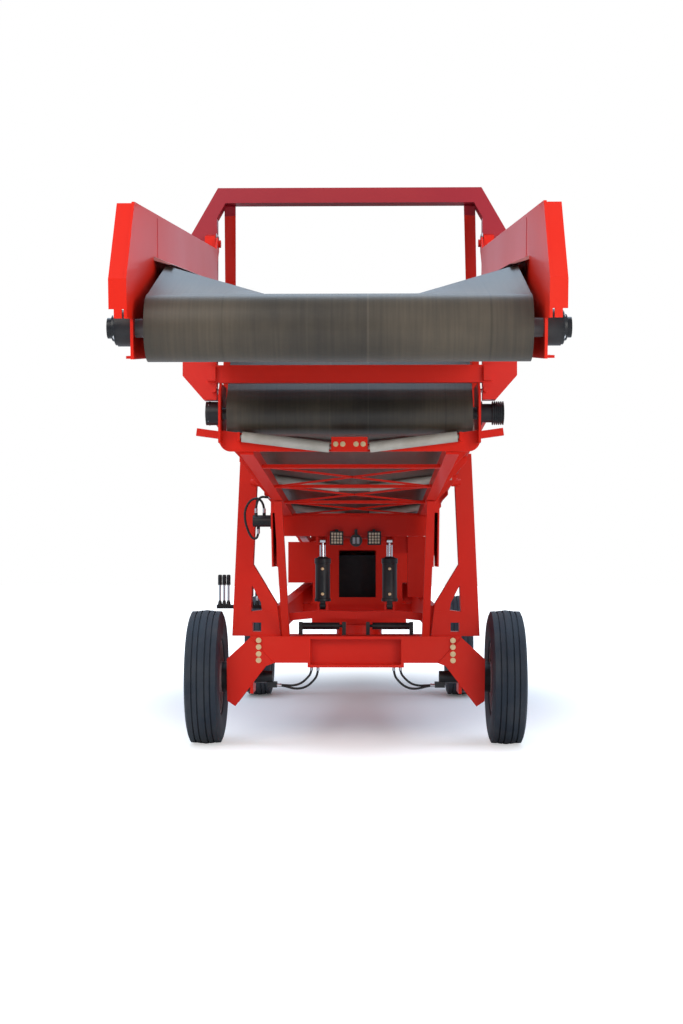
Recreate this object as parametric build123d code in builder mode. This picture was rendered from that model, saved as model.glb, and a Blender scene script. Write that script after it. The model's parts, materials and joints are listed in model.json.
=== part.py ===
from build123d import *
from math import atan2, cos, degrees, radians, sin, tan
import os

os.makedirs("parts", exist_ok=True)

# Stacker conveyor on four tyres, parked with its boom lowered and its head jib folded down.
# Millimetres. The origin is on the ground midway along the machine, X to the right,
# the head (discharge) end towards -Y and +Z up.

# Driving sizes: wheels and axles
main_axle_y = 0
tyre_radius = 525
tyre_width = 270
tread_width = 226
rim_radius = 292
front_track = 2350
rear_track = 2100
wheelbase = 4360
hub_radius = 120
hub_gap = 0.4
steer_gap = 0.3

# Driving sizes: chassis
axle_top = 850
axle_depth = 207
axle_width = 300
tower_outer_low = 971
tower_outer_high = 908
tower_width = 138
tower_depth = 140
tower_top = 2280

# Driving sizes: boom
boom_slope = 2.9
boom_base = 1810
boom_pin_z = 1500
chord_inner = 510
chord_width = 70
chord_height = 70
panel_inner = 690
panel_width = 50
panel_low = 200
panel_top = 700
bay_pitch = 1240
first_bar = -3480
bay_count = 8
boom_front = -4180
boom_rear = 7428
hopper_rear = boom_rear - 40

# Driving sizes: belts and drums
belt_half = 650
belt_thick = 12
drum_radius = 103
drum_half = 645
drive_drum_y = -4120
drive_drum_z = 2245

# Driving sizes: head jib
jib_slope = 7.5
head_drum_y = -7230
head_drum_z = 2264
jib_length = 2990
wing_inner = 690
wing_plate = 10
wing_top = 425
hinge_y = -4245
hinge_z = 3130

rear_axle_y = main_axle_y + wheelbase


def beam(start, end, across, deep, up=(0, 0, 1)):
    """Add a square bar from start to end, with its depth along up."""
    run = Vector(*end) - Vector(*start)
    side = Vector(*up).cross(run)
    with BuildSketch(Plane(origin=start, x_dir=side, z_dir=run)) as section:
        Rectangle(across, deep)
    extrude(section.sketch, amount=run.length)


def rod(start, end, radius):
    """Add a round bar from start to end."""
    run = Vector(*end) - Vector(*start)
    with BuildSketch(Plane(origin=start, z_dir=run)) as section:
        Circle(radius)
    extrude(section.sketch, amount=run.length)


def plate(plane, outline, thickness):
    """Add a flat plate with the given outline, from the plane along its normal."""
    with BuildSketch(plane) as face:
        with BuildLine():
            Polyline(*outline, close=True)
        make_face()
    extrude(face.sketch, amount=thickness)


def block(x_range, y_range, z_range):
    """Add a box between two x, two y and two z values."""
    low, high = zip(x_range, y_range, z_range)
    size = [b - a for a, b in zip(low, high)]
    middle = [(a + b) / 2 for a, b in zip(low, high)]
    with Locations(tuple(middle)):
        Box(*size)


def save(piece, name):
    """Label a finished sub-part and write it under its node name."""
    piece.part.label = name
    export_step(piece.part, f"parts/{name}.step")


# Local frames: along the boom from its base at the main axle, and along the jib from its head drum
boom_angle = radians(boom_slope)
jib_angle = radians(jib_slope)
BOOM = Plane(origin=(0, 0, boom_base), x_dir=(1, 0, 0), z_dir=(0, sin(boom_angle), cos(boom_angle)))
JIB = Plane(origin=(0, head_drum_y, head_drum_z), x_dir=(1, 0, 0), z_dir=(0, -sin(jib_angle), cos(jib_angle)))


def on_boom(x, along, up):
    """The point x across, along towards the tail and up from the chords' underside."""
    return tuple(BOOM.from_local_coords((x, along, up)))


def on_jib(x, along, up):
    """The point x across, along from the head drum towards the hinge and up from its axis."""
    return tuple(JIB.from_local_coords((x, along, up)))


def side_plane(frame, x):
    """The plane at x whose own x runs along the frame and whose own y runs up it."""
    return Plane(origin=frame.from_local_coords((x, 0, 0)), x_dir=frame.y_dir, z_dir=frame.x_dir)


# Wheels: one tyre outline and one rim outline, turned about the axle
tyre_half = tyre_width / 2
tread_half = tread_width / 2
seat_half = 105
shoulder_drop = 12


def make_tyre(name, x, y):
    """One tyre, its outline revolved about the wheel's axle."""
    with BuildPart() as tyre:
        with BuildSketch(Plane.XZ.offset(-y)) as outline:
            with BuildLine():
                inner_side = ThreePointArc(
                    (x - seat_half, rim_radius + tyre_radius),
                    (x - tyre_half, (rim_radius + tyre_radius) / 2 + tyre_radius),
                    (x - tread_half, 2 * tyre_radius - shoulder_drop),
                )
                tread_bow = ThreePointArc(inner_side @ 1, (x, 2 * tyre_radius), (x + tread_half, 2 * tyre_radius - shoulder_drop))
                outer_side = ThreePointArc(
                    tread_bow @ 1,
                    (x + tyre_half, (rim_radius + tyre_radius) / 2 + tyre_radius),
                    (x + seat_half, rim_radius + tyre_radius),
                )
                Line(outer_side @ 1, inner_side @ 0)
            make_face()
        revolve(axis=Axis((0, y, tyre_radius), (1, 0, 0)))
    save(tyre, name)


rim_well = 14
disc_offset = 60
disc_thick = 14
hand_holes = 8
stud_count = 10
hub_length = 95


def make_rim(name, x, y, out):
    """One rim: a rolled band, a disc with slots and the hub that bolts to the axle."""
    hub_face = x - out * (tyre_half - 12)
    with BuildPart() as rim:
        band = Plane(origin=(x - seat_half, y, tyre_radius), z_dir=(1, 0, 0))
        with BuildSketch(band) as ring:
            Circle(rim_radius)
            Circle(rim_radius - rim_well, mode=Mode.SUBTRACT)
        extrude(ring.sketch, amount=2 * seat_half)
        disc_x = x + out * disc_offset
        face_plane = Plane(origin=(disc_x, y, tyre_radius), x_dir=(0, 1, 0), z_dir=(-out, 0, 0))
        with BuildSketch(face_plane) as disc:
            Circle(rim_radius - rim_well / 2)
            with PolarLocations(205, hand_holes):
                SlotOverall(74, 44, mode=Mode.SUBTRACT)
        extrude(disc.sketch, amount=disc_thick)
        rod((disc_x + out * 42, y, tyre_radius), (hub_face, y, tyre_radius), hub_radius)
        rod((disc_x + out * 62, y, tyre_radius), (disc_x, y, tyre_radius), hub_radius * 0.62)
        with BuildSketch(Plane(origin=(disc_x + out * 24, y, tyre_radius), z_dir=(-out, 0, 0))) as studs:
            with PolarLocations(145, stud_count):
                RegularPolygon(15, 6)
        extrude(studs.sketch, amount=30)
    save(rim, name)


front_x = front_track / 2
rear_x = rear_track / 2
wheel_table = (
    ("front_left", -front_x, main_axle_y, -1),
    ("front_right", front_x, main_axle_y, 1),
    ("rear_left", -rear_x, rear_axle_y, -1),
    ("rear_right", rear_x, rear_axle_y, 1),
)
for place, wheel_x, wheel_y, outward in wheel_table:
    make_tyre("tyre_" + place, wheel_x, wheel_y)
    make_rim("rim_" + place, wheel_x, wheel_y, outward)

# Main axle: a box beam with an H-shaped middle and a pair of knuckle plates at each end
axle_low = axle_top - axle_depth
axle_half_width = axle_width / 2
recess_half = 376
recess_low = 608
recess_depth = 110
flange = 22
mount_x = 800
mount_plate = 24
beam_end = mount_x + mount_plate
knuckle_plate = 20
knuckle_outline = (
    (640, axle_low),
    (beam_end, axle_top - 10),
    (1005, 675),
    (1000, 350),
    (937, 308),
    (700, 620),
)
hub_face_x = front_x - tyre_half + 12
with BuildPart() as axle_beam:
    block((-beam_end, beam_end), (-axle_half_width, axle_half_width), (axle_low, axle_top))
    block((-recess_half, recess_half), (-axle_half_width, axle_half_width), (recess_low, axle_low))
    for front in (-1, 1):
        outer = front * axle_half_width
        inner = front * (axle_half_width - recess_depth)
        with Locations((0, (outer + inner) / 2, (recess_low + axle_top) / 2)):
            Box(2 * (recess_half - flange), abs(outer - inner), axle_top - recess_low - 2 * flange, mode=Mode.SUBTRACT)
    for hand in (-1, 1):
        points = [(hand * x, z) for x, z in knuckle_outline]
        for face_y in (-axle_half_width - knuckle_plate, axle_half_width):
            plate(Plane.XZ.offset(-face_y - knuckle_plate), points, knuckle_plate)
        near, far = sorted((hand * mount_x, hand * (mount_x + mount_plate)))
        block((near, far), (-axle_half_width, axle_half_width), (405, axle_low))
save(axle_beam, "axle_beam")

# Hub gearboxes outside the mounting plates and hydraulic wheel motors inside them
motor_radius = 48
motor_inner = 654
port_face = 620
port_half = 35
port_low = tyre_radius - 83
with BuildPart() as hub_gearboxes:
    for hand in (-1, 1):
        rod((hand * (mount_x + mount_plate), 0, tyre_radius), (hand * (hub_face_x - hub_gap), 0, tyre_radius), hub_radius)
save(hub_gearboxes, "hub_gearboxes")

with BuildPart() as wheel_motors:
    for hand in (-1, 1):
        rod((hand * mount_x, 0, tyre_radius), (hand * motor_inner, 0, tyre_radius), motor_radius)
        block(sorted((hand * port_face, hand * (port_face + 80))), (-port_half, port_half), (port_low, port_low + 45))
save(wheel_motors, "wheel_motors")

gusset_plate = 8

# Towers: leaning box legs with a diagonal brace and a windowed foot gusset
with BuildPart() as wheel_towers:
    for hand in (-1, 1):
        outer_top = tower_outer_high
        leg = (
            (hand * tower_outer_low, axle_top),
            (hand * outer_top, tower_top),
            (hand * (outer_top - tower_width), tower_top),
            (hand * (tower_outer_low - tower_width), axle_top),
        )
        plate(Plane.XZ.offset(-tower_depth / 2), leg, tower_depth)
        brace = (
            (hand * 830, 1446),
            (hand * 620, 1100),
            (hand * 590, axle_top),
            (hand * 700, axle_top),
            (hand * 730, 1000),
            (hand * 745, 1110),
            (hand * 835, 1284),
        )
        plate(Plane.XZ.offset(-tower_depth / 2), brace, tower_depth)
        web = ((hand * 690, axle_top), (hand * 835, axle_top), (hand * 826, 1040), (hand * 733, 1052))
        plate(Plane.XZ.offset(-tower_depth / 2), web, tower_depth)
        gusset = (
            (hand * 590, axle_top),
            (hand * 965, axle_top),
            (hand * 963, 903),
            (hand * 833, 1040),
            (hand * 733, 1052),
            (hand * 613, 1040),
        )
        plate(Plane.XZ.offset(tower_depth / 2), gusset, gusset_plate)
        window = sorted((hand * 742, hand * 812))
        with Locations(((window[0] + window[1]) / 2, 0, 919)):
            Box(window[1] - window[0], 4 * tower_depth, 72, mode=Mode.SUBTRACT)
save(wheel_towers, "wheel_towers")

# Rest posts: leaning square posts from the axle beam to just under the boom's chords
post_x = 545
post_size = 57
post_foot_y = -110
post_head_y = -1300
post_gap = 6
with BuildPart() as rest_posts:
    for hand in (-1, 1):
        foot = Vector(hand * post_x, post_foot_y, axle_top)
        under = boom_base + tan(boom_angle) * -post_head_y
        beam(foot, (hand * post_x, post_head_y, under + 60), post_size, post_size, (0, 1, 0))
        with BuildSketch(BOOM.offset(-post_gap)) as above:
            with Locations((hand * post_x, post_head_y)):
                Rectangle(300, 400)
        extrude(above.sketch, amount=300, mode=Mode.SUBTRACT)
        with BuildSketch(Plane.XY.offset(axle_top)) as below:
            with Locations((hand * post_x, post_foot_y)):
                Rectangle(300, 300)
        extrude(below.sketch, amount=-200, mode=Mode.SUBTRACT)
save(rest_posts, "rest_posts")

# Chassis: two converging side beams, joined by cross-members, from the axle to the rear bolster
side_front = Vector(594, axle_half_width, 1000)
bolster_width = 360
side_rear = Vector(450, rear_axle_y - bolster_width / 2, 1165)
side_deep = 170
side_wide = 90
with BuildPart() as side_beams:
    for hand in (-1, 1):
        start = (hand * side_front.X, side_front.Y, side_front.Z)
        finish = (hand * side_rear.X, side_rear.Y, side_rear.Z)
        beam(start, finish, side_wide, side_deep)
        with Locations((finish[0], finish[1] + 50, finish[2])):
            Box(3 * side_wide, 100, 2 * side_deep, mode=Mode.SUBTRACT)
        edges = sorted((hand * (side_front.X - side_wide / 2), hand * (side_front.X + side_wide / 2)))
        block(edges, (tower_depth / 2 + 10, side_front.Y + 10), (axle_top, side_front.Z + side_deep / 2))
    for cross_y, cross_z in ((1900, 990), (3100, 990)):
        block((-560, 560), (cross_y - 50, cross_y + 50), (cross_z - 50, cross_z + 50))
save(side_beams, "side_beams")

# Rear bolster: the cross-beam over the steering axle, with the posts that carry the boom's pivot
bolster_half = 495
bolster_low = 745
bolster_top = 1250
pin_post_inner = 420
pin_post_plate = 30
boom_pin_radius = 40
with BuildPart() as rear_bolster:
    sides = (rear_axle_y - bolster_width / 2, rear_axle_y + bolster_width / 2)
    block((-bolster_half, bolster_half), sides, (bolster_low, bolster_top))
    for hand in (-1, 1):
        post = (
            (rear_axle_y - 170, bolster_top),
            (rear_axle_y + 170, bolster_top),
            (rear_axle_y + 70, boom_pin_z + 70),
            (rear_axle_y - 70, boom_pin_z + 70),
        )
        start_x = hand * pin_post_inner if hand > 0 else -pin_post_inner - pin_post_plate
        plate(Plane.YZ.offset(start_x), post, pin_post_plate)
    with BuildSketch(Plane.YZ.offset(-600)) as bore:
        with Locations((rear_axle_y, boom_pin_z)):
            Circle(boom_pin_radius)
    extrude(bore.sketch, amount=1200, mode=Mode.SUBTRACT)
save(rear_bolster, "rear_bolster")

# Steering axle: a box beam under a turntable ring, with short spindles and a towing eye
steer_axle_half = 860
steer_axle_low = 440
steer_axle_top = 640
ring_radius = 240
ring_top = bolster_low - steer_gap
rear_hub_face = rear_x - tyre_half + 12
tow_eye_y = rear_axle_y + 1050
tow_eye_radius = 25
tow_plate = 40
with BuildPart() as rear_axle_beam:
    block((-steer_axle_half, steer_axle_half), (rear_axle_y - 90, rear_axle_y + 90), (steer_axle_low, steer_axle_top))
    rod((0, rear_axle_y, steer_axle_top), (0, rear_axle_y, ring_top), ring_radius)
    for hand in (-1, 1):
        rod((hand * steer_axle_half, rear_axle_y, tyre_radius), (hand * (rear_hub_face - hub_gap), rear_axle_y, tyre_radius), 85)
        beam((hand * 300, rear_axle_y + 60, 540), (hand * 20, tow_eye_y - 60, 540), 70, 70)
    block((-70, 70), (tow_eye_y - 130, tow_eye_y + 70), (540 - tow_plate / 2, 540 + tow_plate / 2))
    with BuildSketch(Plane.XY.offset(400)) as eye:
        with Locations((0, tow_eye_y)):
            Circle(tow_eye_radius)
    extrude(eye.sketch, amount=300, mode=Mode.SUBTRACT)
save(rear_axle_beam, "rear_axle_beam")

# Power pack: a steel housing between the side beams, hollow, with the engine inside it
housing_half = 400
housing_front = 1700
housing_rear = 3300
housing_low = 1040
housing_top = 1600
sheet = 4
recess_wide = 330
recess_tall = 420
wide_half = 620
wide_low = 1235
with BuildPart() as power_pack_housing:
    for half, low, shell in ((wide_half, wide_low, 0), (housing_half, housing_low, 0), (wide_half, wide_low, sheet), (housing_half, housing_low, sheet)):
        with Locations((0, (housing_front + housing_rear) / 2, (low + housing_top) / 2)):
            Box(
                2 * (half - shell),
                housing_rear - housing_front - 2 * shell,
                housing_top - low - 2 * shell,
                mode=Mode.SUBTRACT if shell else Mode.ADD,
            )
    with Locations((0, housing_front, housing_low + sheet + recess_tall / 2 + 60)):
        Box(recess_wide, 4 * sheet, recess_tall, mode=Mode.SUBTRACT)
save(power_pack_housing, "power_pack_housing")

with BuildPart() as engine_block:
    block((-260, 260), (2150, 3100), (housing_low + sheet, 1480))
save(engine_block, "engine_block")

# Lift cross-member on the chassis that carries the feet of the two lift cylinders
lift_x = 270
lift_y = 300
cylinder_pin = 13
foot_eye_z = 1075
rod_eye_z = 1600
eye_half = 22
eye_radius = 30
foot_lug = 14
with BuildPart() as gull_crossmember:
    for hand in (-1, 1):
        beam((0, lift_y, 1000), (hand * 300, lift_y, 1010), 90, 60)
        beam((hand * 290, lift_y, 1010), (hand * 538, lift_y, 985), 90, 60)
        for lug_x in (-eye_half - 6 - foot_lug, eye_half + 6):
            near = hand * lift_x + lug_x
            block((near, near + foot_lug), (lift_y - 32, lift_y + 32), (1020, foot_eye_z + 32))
        pin_half = eye_half + 6 + foot_lug
        rod((hand * lift_x - pin_half, lift_y, foot_eye_z), (hand * lift_x + pin_half, lift_y, foot_eye_z), cylinder_pin)
save(gull_crossmember, "gull_crossmember")

# Boom truss: two bottom chords with cross bars and crossed ties, and a lattice panel outside each chord
chord_centre = chord_inner + chord_width / 2
panel_centre = panel_inner + panel_width / 2
bars = [first_bar + n * bay_pitch for n in range(bay_count + 1)]
bar_size = 50
bar_deep = 20
tie_size = 12
with BuildPart() as bottom_chords:
    for hand in (-1, 1):
        beam(on_boom(hand * chord_centre, boom_front, chord_height / 2), on_boom(hand * chord_centre, boom_rear, chord_height / 2), chord_width, chord_height)
save(bottom_chords, "bottom_chords")

with BuildPart() as bottom_bracing:
    for along in bars:
        beam(on_boom(-chord_inner, along, bar_deep / 2), on_boom(chord_inner, along, bar_deep / 2), bar_size, bar_deep, BOOM.z_dir)
    for low, high in zip(bars[:-1], bars[1:]):
        for hand in (-1, 1):
            beam(on_boom(-hand * (chord_inner - 6), low, bar_deep / 2), on_boom(hand * (chord_inner - 6), high, bar_deep / 2), tie_size, tie_size)
save(bottom_bracing, "bottom_bracing")

panel_front = boom_front + 160
with BuildPart() as truss_panels:
    for hand in (-1, 1):
        x = hand * panel_centre
        for height in (panel_low + panel_width / 2, panel_top - panel_width / 2):
            beam(on_boom(x, panel_front, height), on_boom(x, boom_rear, height), panel_width, panel_width)
        for n, along in enumerate(bars):
            beam(on_boom(x, along, panel_low), on_boom(x, along, panel_top), panel_width - 10, panel_width - 10, BOOM.y_dir)
            bracket = ((hand * (chord_inner + chord_width), 0), (hand * (chord_inner + chord_width), 45), (hand * panel_inner, panel_low + 20), (hand * (panel_inner + panel_width), panel_low + 20), (hand * (panel_inner + panel_width), panel_low - 30))
            cut = Plane(origin=on_boom(0, along - 6, 0), x_dir=(1, 0, 0), z_dir=-BOOM.y_dir)
            plate(cut, bracket, 12)
        for low, high in zip(bars[:-1], bars[1:]):
            middle = (low + high) / 2
            beam(on_boom(x, low, panel_low + 25), on_boom(x, middle, panel_top - 25), 30, 30, BOOM.y_dir)
            beam(on_boom(x, middle, panel_top - 25), on_boom(x, high, panel_low + 25), 30, 30, BOOM.y_dir)
save(truss_panels, "truss_panels")

# Drum places along the boom: the drive drum below, the bend drum above it and the tail drum
drive_at = BOOM.to_local_coords(Vector(0, drive_drum_y, drive_drum_z))
drive_along = drive_at.Y
drive_up = drive_at.Z
belt_outer = drum_radius + belt_thick
bend_along = -3650
carry_up = 860
bend_up = carry_up - belt_outer
tail_along = boom_rear - 160
return_up = drive_up - belt_outer
tail_up = 400

# Front cradle: a cross plate behind the drive drum and the plates that hold its bearings
cradle_x = 690
shaft_hole_radius = 32.3
cradle_low = 2037
cradle_sides = 2150
notch_low = 2062
snub_y = -4225
snub_bracket = 95
snub_tab = 577
side_plate = 12
cradle_plate_x = panel_inner - side_plate
with BuildPart() as drum_cradle:
    with BuildSketch(Plane.XZ.offset(-boom_front)) as plate_face:
        with BuildLine():
            Polyline(
                (-cradle_x, cradle_sides),
                (-cradle_x, cradle_low),
                (cradle_x, cradle_low),
                (cradle_x, cradle_sides),
                (0, notch_low),
                close=True,
            )
        make_face()
        fillet(plate_face.vertices().group_by(Axis.Y)[0], 60)
    extrude(plate_face.sketch, amount=side_plate)
    for hand in (-1, 1):
        start_x = cradle_plate_x if hand > 0 else -cradle_plate_x - side_plate
        cheek = ((-4260, 2080), (-3900, 2080), (-3900, 2400), (-4190, 2400), (-4260, 2330))
        plate(Plane.YZ.offset(start_x), cheek, side_plate)
        beam((hand * (cradle_plate_x + side_plate), -4090, 2130), (hand * 820, -4090, 2148), 40, 40)
    with BuildSketch(side_plane(BOOM, -900)) as shaft_hole:
        with Locations((drive_along, drive_up)):
            Circle(shaft_hole_radius)
    extrude(shaft_hole.sketch, amount=1800, mode=Mode.SUBTRACT)
    block((-snub_bracket, snub_bracket), (snub_y - 24, boom_front - side_plate), (2034, 2110))
    block((-snub_bracket, snub_bracket), (boom_front - side_plate, boom_front), (2050, 2110))
    for hand in (-1, 1):
        block(sorted((hand * snub_tab, hand * (snub_tab + 14))), (snub_y - 20, boom_front - side_plate), (2088, 2136))
save(drum_cradle, "drum_cradle")

# Portal frame: the ring round the jib's rear end, with its rear struts
ring_depth = 90
low_beam_depth = 40
ring_front = -4190
ring_outer = (
    (-700, 3440), (700, 3440), (886, 3114), (886, 2440), (774, 2312), (705, 2312), (705, 2402),
    (-705, 2402), (-705, 2312), (-774, 2312), (-886, 2440), (-886, 3114),
)
ring_inner = ((-660, 3360), (660, 3360), (705, 3280), (705, 2496), (-705, 2496), (-705, 3280))
strut_foot = -3150
pad_proud = 30
with BuildPart() as portal_frame:
    with BuildSketch(Plane.XZ.offset(-ring_front - ring_depth)) as ring_face:
        with BuildLine():
            Polyline(*ring_outer, close=True)
        make_face()
        with BuildLine():
            Polyline(*ring_inner, close=True)
        make_face(mode=Mode.SUBTRACT)
    extrude(ring_face.sketch, amount=ring_depth)
    with Locations((0, ring_front + low_beam_depth + ring_depth / 2, 2449)):
        Box(2 * 705, ring_depth, 94 + 20, mode=Mode.SUBTRACT)
    for hand in (-1, 1):
        beam((hand * 640, ring_front + ring_depth - 30, 3370), on_boom(hand * 722, strut_foot, panel_top - 20), 60, 50)
    with BuildSketch(BOOM.offset(panel_top)) as under_feet:
        with Locations((0, strut_foot)):
            Rectangle(2000, 1200)
    extrude(under_feet.sketch, amount=-200, mode=Mode.SUBTRACT)
    for hand in (-1, 1):
        block(sorted((hand * 708, hand * 752)), (ring_front - pad_proud, ring_front), (2410, 2490))
        rod((hand * 720, ring_front, 2362), (hand * 720, ring_front - pad_proud, 2362), 14)
save(portal_frame, "portal_frame")


def belt_section(frame, along, near, far):
    """A strip of a belt's cross-section in the frame, between two (x, height) points of its top."""
    section_plane = Plane(origin=frame.from_local_coords((0, along, 0)), x_dir=(1, 0, 0), z_dir=frame.y_dir)
    top = (near, far)
    under = tuple((x, z - belt_thick) for x, z in reversed(top))
    with BuildSketch(section_plane) as section:
        with BuildLine():
            Polyline(*[(x, -z) for x, z in top + under], close=True)
        make_face()
    return section.sketch


def belt_run(frame, stations, fold):
    """Add one run of belt through (along, middle, edge) stations, as a flat middle and two raised sides."""
    for start, finish in zip(stations[:-1], stations[1:]):
        for near_x, far_x in ((-belt_half, -fold), (-fold, fold), (fold, belt_half)):
            ends = []
            for along, rise_mid, rise_edge in (start, finish):
                near = (near_x, rise_edge if abs(near_x) == belt_half else rise_mid)
                far = (far_x, rise_edge if abs(far_x) == belt_half else rise_mid)
                ends.append(belt_section(frame, along, near, far))
            loft(ends, ruled=True)


def wrap(frame, along, up, from_angle, to_angle):
    """Add the belt round a drum, from one angle to another in the frame's own side view."""
    side = side_plane(frame, -belt_half)
    middle = (from_angle + to_angle) / 2

    def on_circle(radius, angle):
        return (along + radius * cos(radians(angle)), up + radius * sin(radians(angle)))

    with BuildSketch(side) as bend:
        with BuildLine():
            outside = ThreePointArc(on_circle(belt_outer, from_angle), on_circle(belt_outer, middle), on_circle(belt_outer, to_angle))
            inside = ThreePointArc(on_circle(drum_radius, from_angle), on_circle(drum_radius, middle), on_circle(drum_radius, to_angle))
            Line(outside @ 0, inside @ 0)
            Line(outside @ 1, inside @ 1)
        make_face()
    extrude(bend.sketch, amount=2 * belt_half)


# Main belt: troughed on top, round the tail drum, in a shallow V underneath and round two front drums
trough_fold = 230
trough_rise = 130
vee_rise = 84
vee_fold = 20
change = 500
drop_along = 5000
drop_slope = 9.8
rise_along = 5500
rise_slope = 6.6
drum_gap = 0.3
front_angle = 90 + degrees(atan2(bend_up - drive_up, bend_along - drive_along))
tail_top_angle = 90 - drop_slope
tail_low_angle = rise_slope - 90
tail_top = (tail_along + belt_outer * cos(radians(tail_top_angle)), tail_up + belt_outer * sin(radians(tail_top_angle)))
tail_low = (tail_along + belt_outer * cos(radians(tail_low_angle)), tail_up + belt_outer * sin(radians(tail_low_angle)))
mid_along = tail_along - change
mid_up = tail_top[1] + (carry_up - tail_top[1]) * change / (tail_along - drop_along)


def round_drum(along, up, radius, angle):
    """The point at an angle on a circle about a drum, in the boom's side view."""
    return (along + radius * cos(radians(angle)), up + radius * sin(radians(angle)))


with BuildPart() as main_belt:
    belt_run(
        BOOM,
        (
            (bend_along, carry_up, carry_up),
            (bend_along + change, carry_up, carry_up + trough_rise),
            (drop_along, carry_up, carry_up + trough_rise),
            (mid_along, mid_up, mid_up + trough_rise),
            (tail_top[0], tail_top[1], tail_top[1]),
        ),
        trough_fold,
    )
    under_top = return_up + belt_thick
    belt_run(
        BOOM,
        (
            (drive_along, under_top, under_top),
            (drive_along + 60, under_top, under_top),
            (drive_along + 290, under_top - 7, under_top - 7 + vee_rise),
            (rise_along, under_top - 7, under_top - 7 + vee_rise),
            (tail_low[0], tail_low[1] + belt_thick, tail_low[1] + belt_thick),
        ),
        vee_fold,
    )
    wrap(BOOM, bend_along, bend_up, 90, front_angle)
    wrap(BOOM, drive_along, drive_up, front_angle, 270)
    wrap(BOOM, tail_along, tail_up, tail_low_angle, tail_top_angle)
    apron = (
        round_drum(bend_along, bend_up, belt_outer, front_angle),
        round_drum(bend_along, bend_up, drum_radius, front_angle),
        round_drum(drive_along, drive_up, drum_radius, front_angle),
        round_drum(drive_along, drive_up, belt_outer, front_angle),
    )
    plate(side_plane(BOOM, -belt_half), apron, 2 * belt_half)
save(main_belt, "main_belt")

# Drums with their shafts, each turned on one line across its frame
shaft_radius = 32
drum_wall = 10


def turn_drum(frame, along, up, left_end, right_end):
    """One drum in the open part: a closed shell between the belt's runs on a through shaft."""
    here = side_plane(frame, 0)
    across = frame.from_local_coords((0, along, up))

    def at(x):
        return (x, across.Y, across.Z)

    with BuildPart() as drum:
        rod(at(-drum_half), at(drum_half), drum_radius - drum_gap)
        with BuildSketch(Plane(origin=at(-drum_half + drum_wall), z_dir=here.z_dir)) as hollow:
            Circle(drum_radius - drum_wall)
        extrude(hollow.sketch, amount=2 * (drum_half - drum_wall), mode=Mode.SUBTRACT)
        rod(at(left_end), at(right_end), shaft_radius)
    add(drum.part)


shaft_end = panel_inner + panel_width + 10
with BuildPart() as belt_drums:
    for along, up in ((drive_along, drive_up), (bend_along, bend_up), (tail_along, tail_up)):
        turn_drum(BOOM, along, up, -shaft_end, shaft_end)
save(belt_drums, "belt_drums")

# Drum bearings: blocks on the truss panels, a flanged bearing and the finned gearmotor on the drive drum
bearing_x = panel_inner + panel_width
drive_yz = on_boom(0, drive_along, drive_up)
with BuildPart() as drum_bearings:
    for hand in (-1, 1):
        across = sorted((hand * panel_inner, hand * bearing_x))
        for along, low, high in ((bend_along, panel_top, bend_up + 75), (tail_along, panel_low + panel_width, panel_top - panel_width)):
            with BuildSketch(side_plane(BOOM, across[0])) as housing:
                with Locations((along, (low + high) / 2)):
                    Rectangle(150, high - low)
            extrude(housing.sketch, amount=panel_width)
    for along, up in ((bend_along, bend_up), (tail_along, tail_up)):
        with BuildSketch(side_plane(BOOM, -900)) as bore:
            with Locations((along, up)):
                Circle(shaft_hole_radius)
        extrude(bore.sketch, amount=1800, mode=Mode.SUBTRACT)
    rod((-panel_inner, drive_yz[1], drive_yz[2]), (-766, drive_yz[1], drive_yz[2]), 63)
    with BuildSketch(Plane.YZ.offset(-shaft_end - 2)) as drive_bore:
        with Locations((drive_yz[1], drive_yz[2])):
            Circle(shaft_hole_radius)
    extrude(drive_bore.sketch, amount=200, mode=Mode.SUBTRACT)
save(drum_bearings, "drum_bearings")

fin_count = 6
with BuildPart() as gearmotor:
    rod((panel_inner, drive_yz[1], drive_yz[2]), (820, drive_yz[1], drive_yz[2]), 50)
    for n in range(fin_count):
        fin_x = 758 + n * 11
        rod((fin_x, drive_yz[1], drive_yz[2]), (fin_x + 5, drive_yz[1], drive_yz[2]), 63)
    rod((panel_inner, drive_yz[1], drive_yz[2]), (panel_inner + 14, drive_yz[1], drive_yz[2]), 63)
    with BuildSketch(Plane.YZ.offset(600)) as bore:
        with Locations((drive_yz[1], drive_yz[2])):
            Circle(shaft_hole_radius)
    extrude(bore.sketch, amount=shaft_end + 2 - 600, mode=Mode.SUBTRACT)
save(gearmotor, "gearmotor")

# Idlers: three-roll troughing sets on the panels' tops and V pairs under the return run
roller_radius = 45
return_radius = 29
roller_gap = 0.3
trough_angle = atan2(trough_rise, belt_half - trough_fold)
idler_pitch = 1240
idler_places = [-2860 + n * idler_pitch for n in range(7)]
with BuildPart() as carrying_idlers:
    for along in idler_places:
        under = carry_up - belt_thick - roller_radius - roller_gap
        rod(on_boom(-trough_fold + 12, along, under), on_boom(trough_fold - 12, along, under), roller_radius)
        beam(on_boom(-panel_inner - panel_width, along, panel_top + 20), on_boom(panel_inner + panel_width, along, panel_top + 20), 60, 40, BOOM.z_dir)
        for x in (-150, 150):
            beam(on_boom(x, along, panel_top + 30), on_boom(x, along, under), 12, 30, BOOM.y_dir)
        for hand in (-1, 1):
            inner = (trough_fold + 18, under + 18 * tan(trough_angle) - 2)
            outer = (belt_half - 15, inner[1] + (belt_half - 15 - inner[0]) * tan(trough_angle))
            rod(on_boom(hand * inner[0], along, inner[1]), on_boom(hand * outer[0], along, outer[1]), roller_radius)
            beam(on_boom(hand * (belt_half - 60), along, panel_top + 30), on_boom(hand * (belt_half - 60), along, outer[1] - 20), 12, 30, BOOM.y_dir)
            beam(on_boom(hand * (trough_fold + 60), along, panel_top + 30), on_boom(hand * (trough_fold + 60), along, inner[1]), 12, 30, BOOM.y_dir)
save(carrying_idlers, "carrying_idlers")

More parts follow.
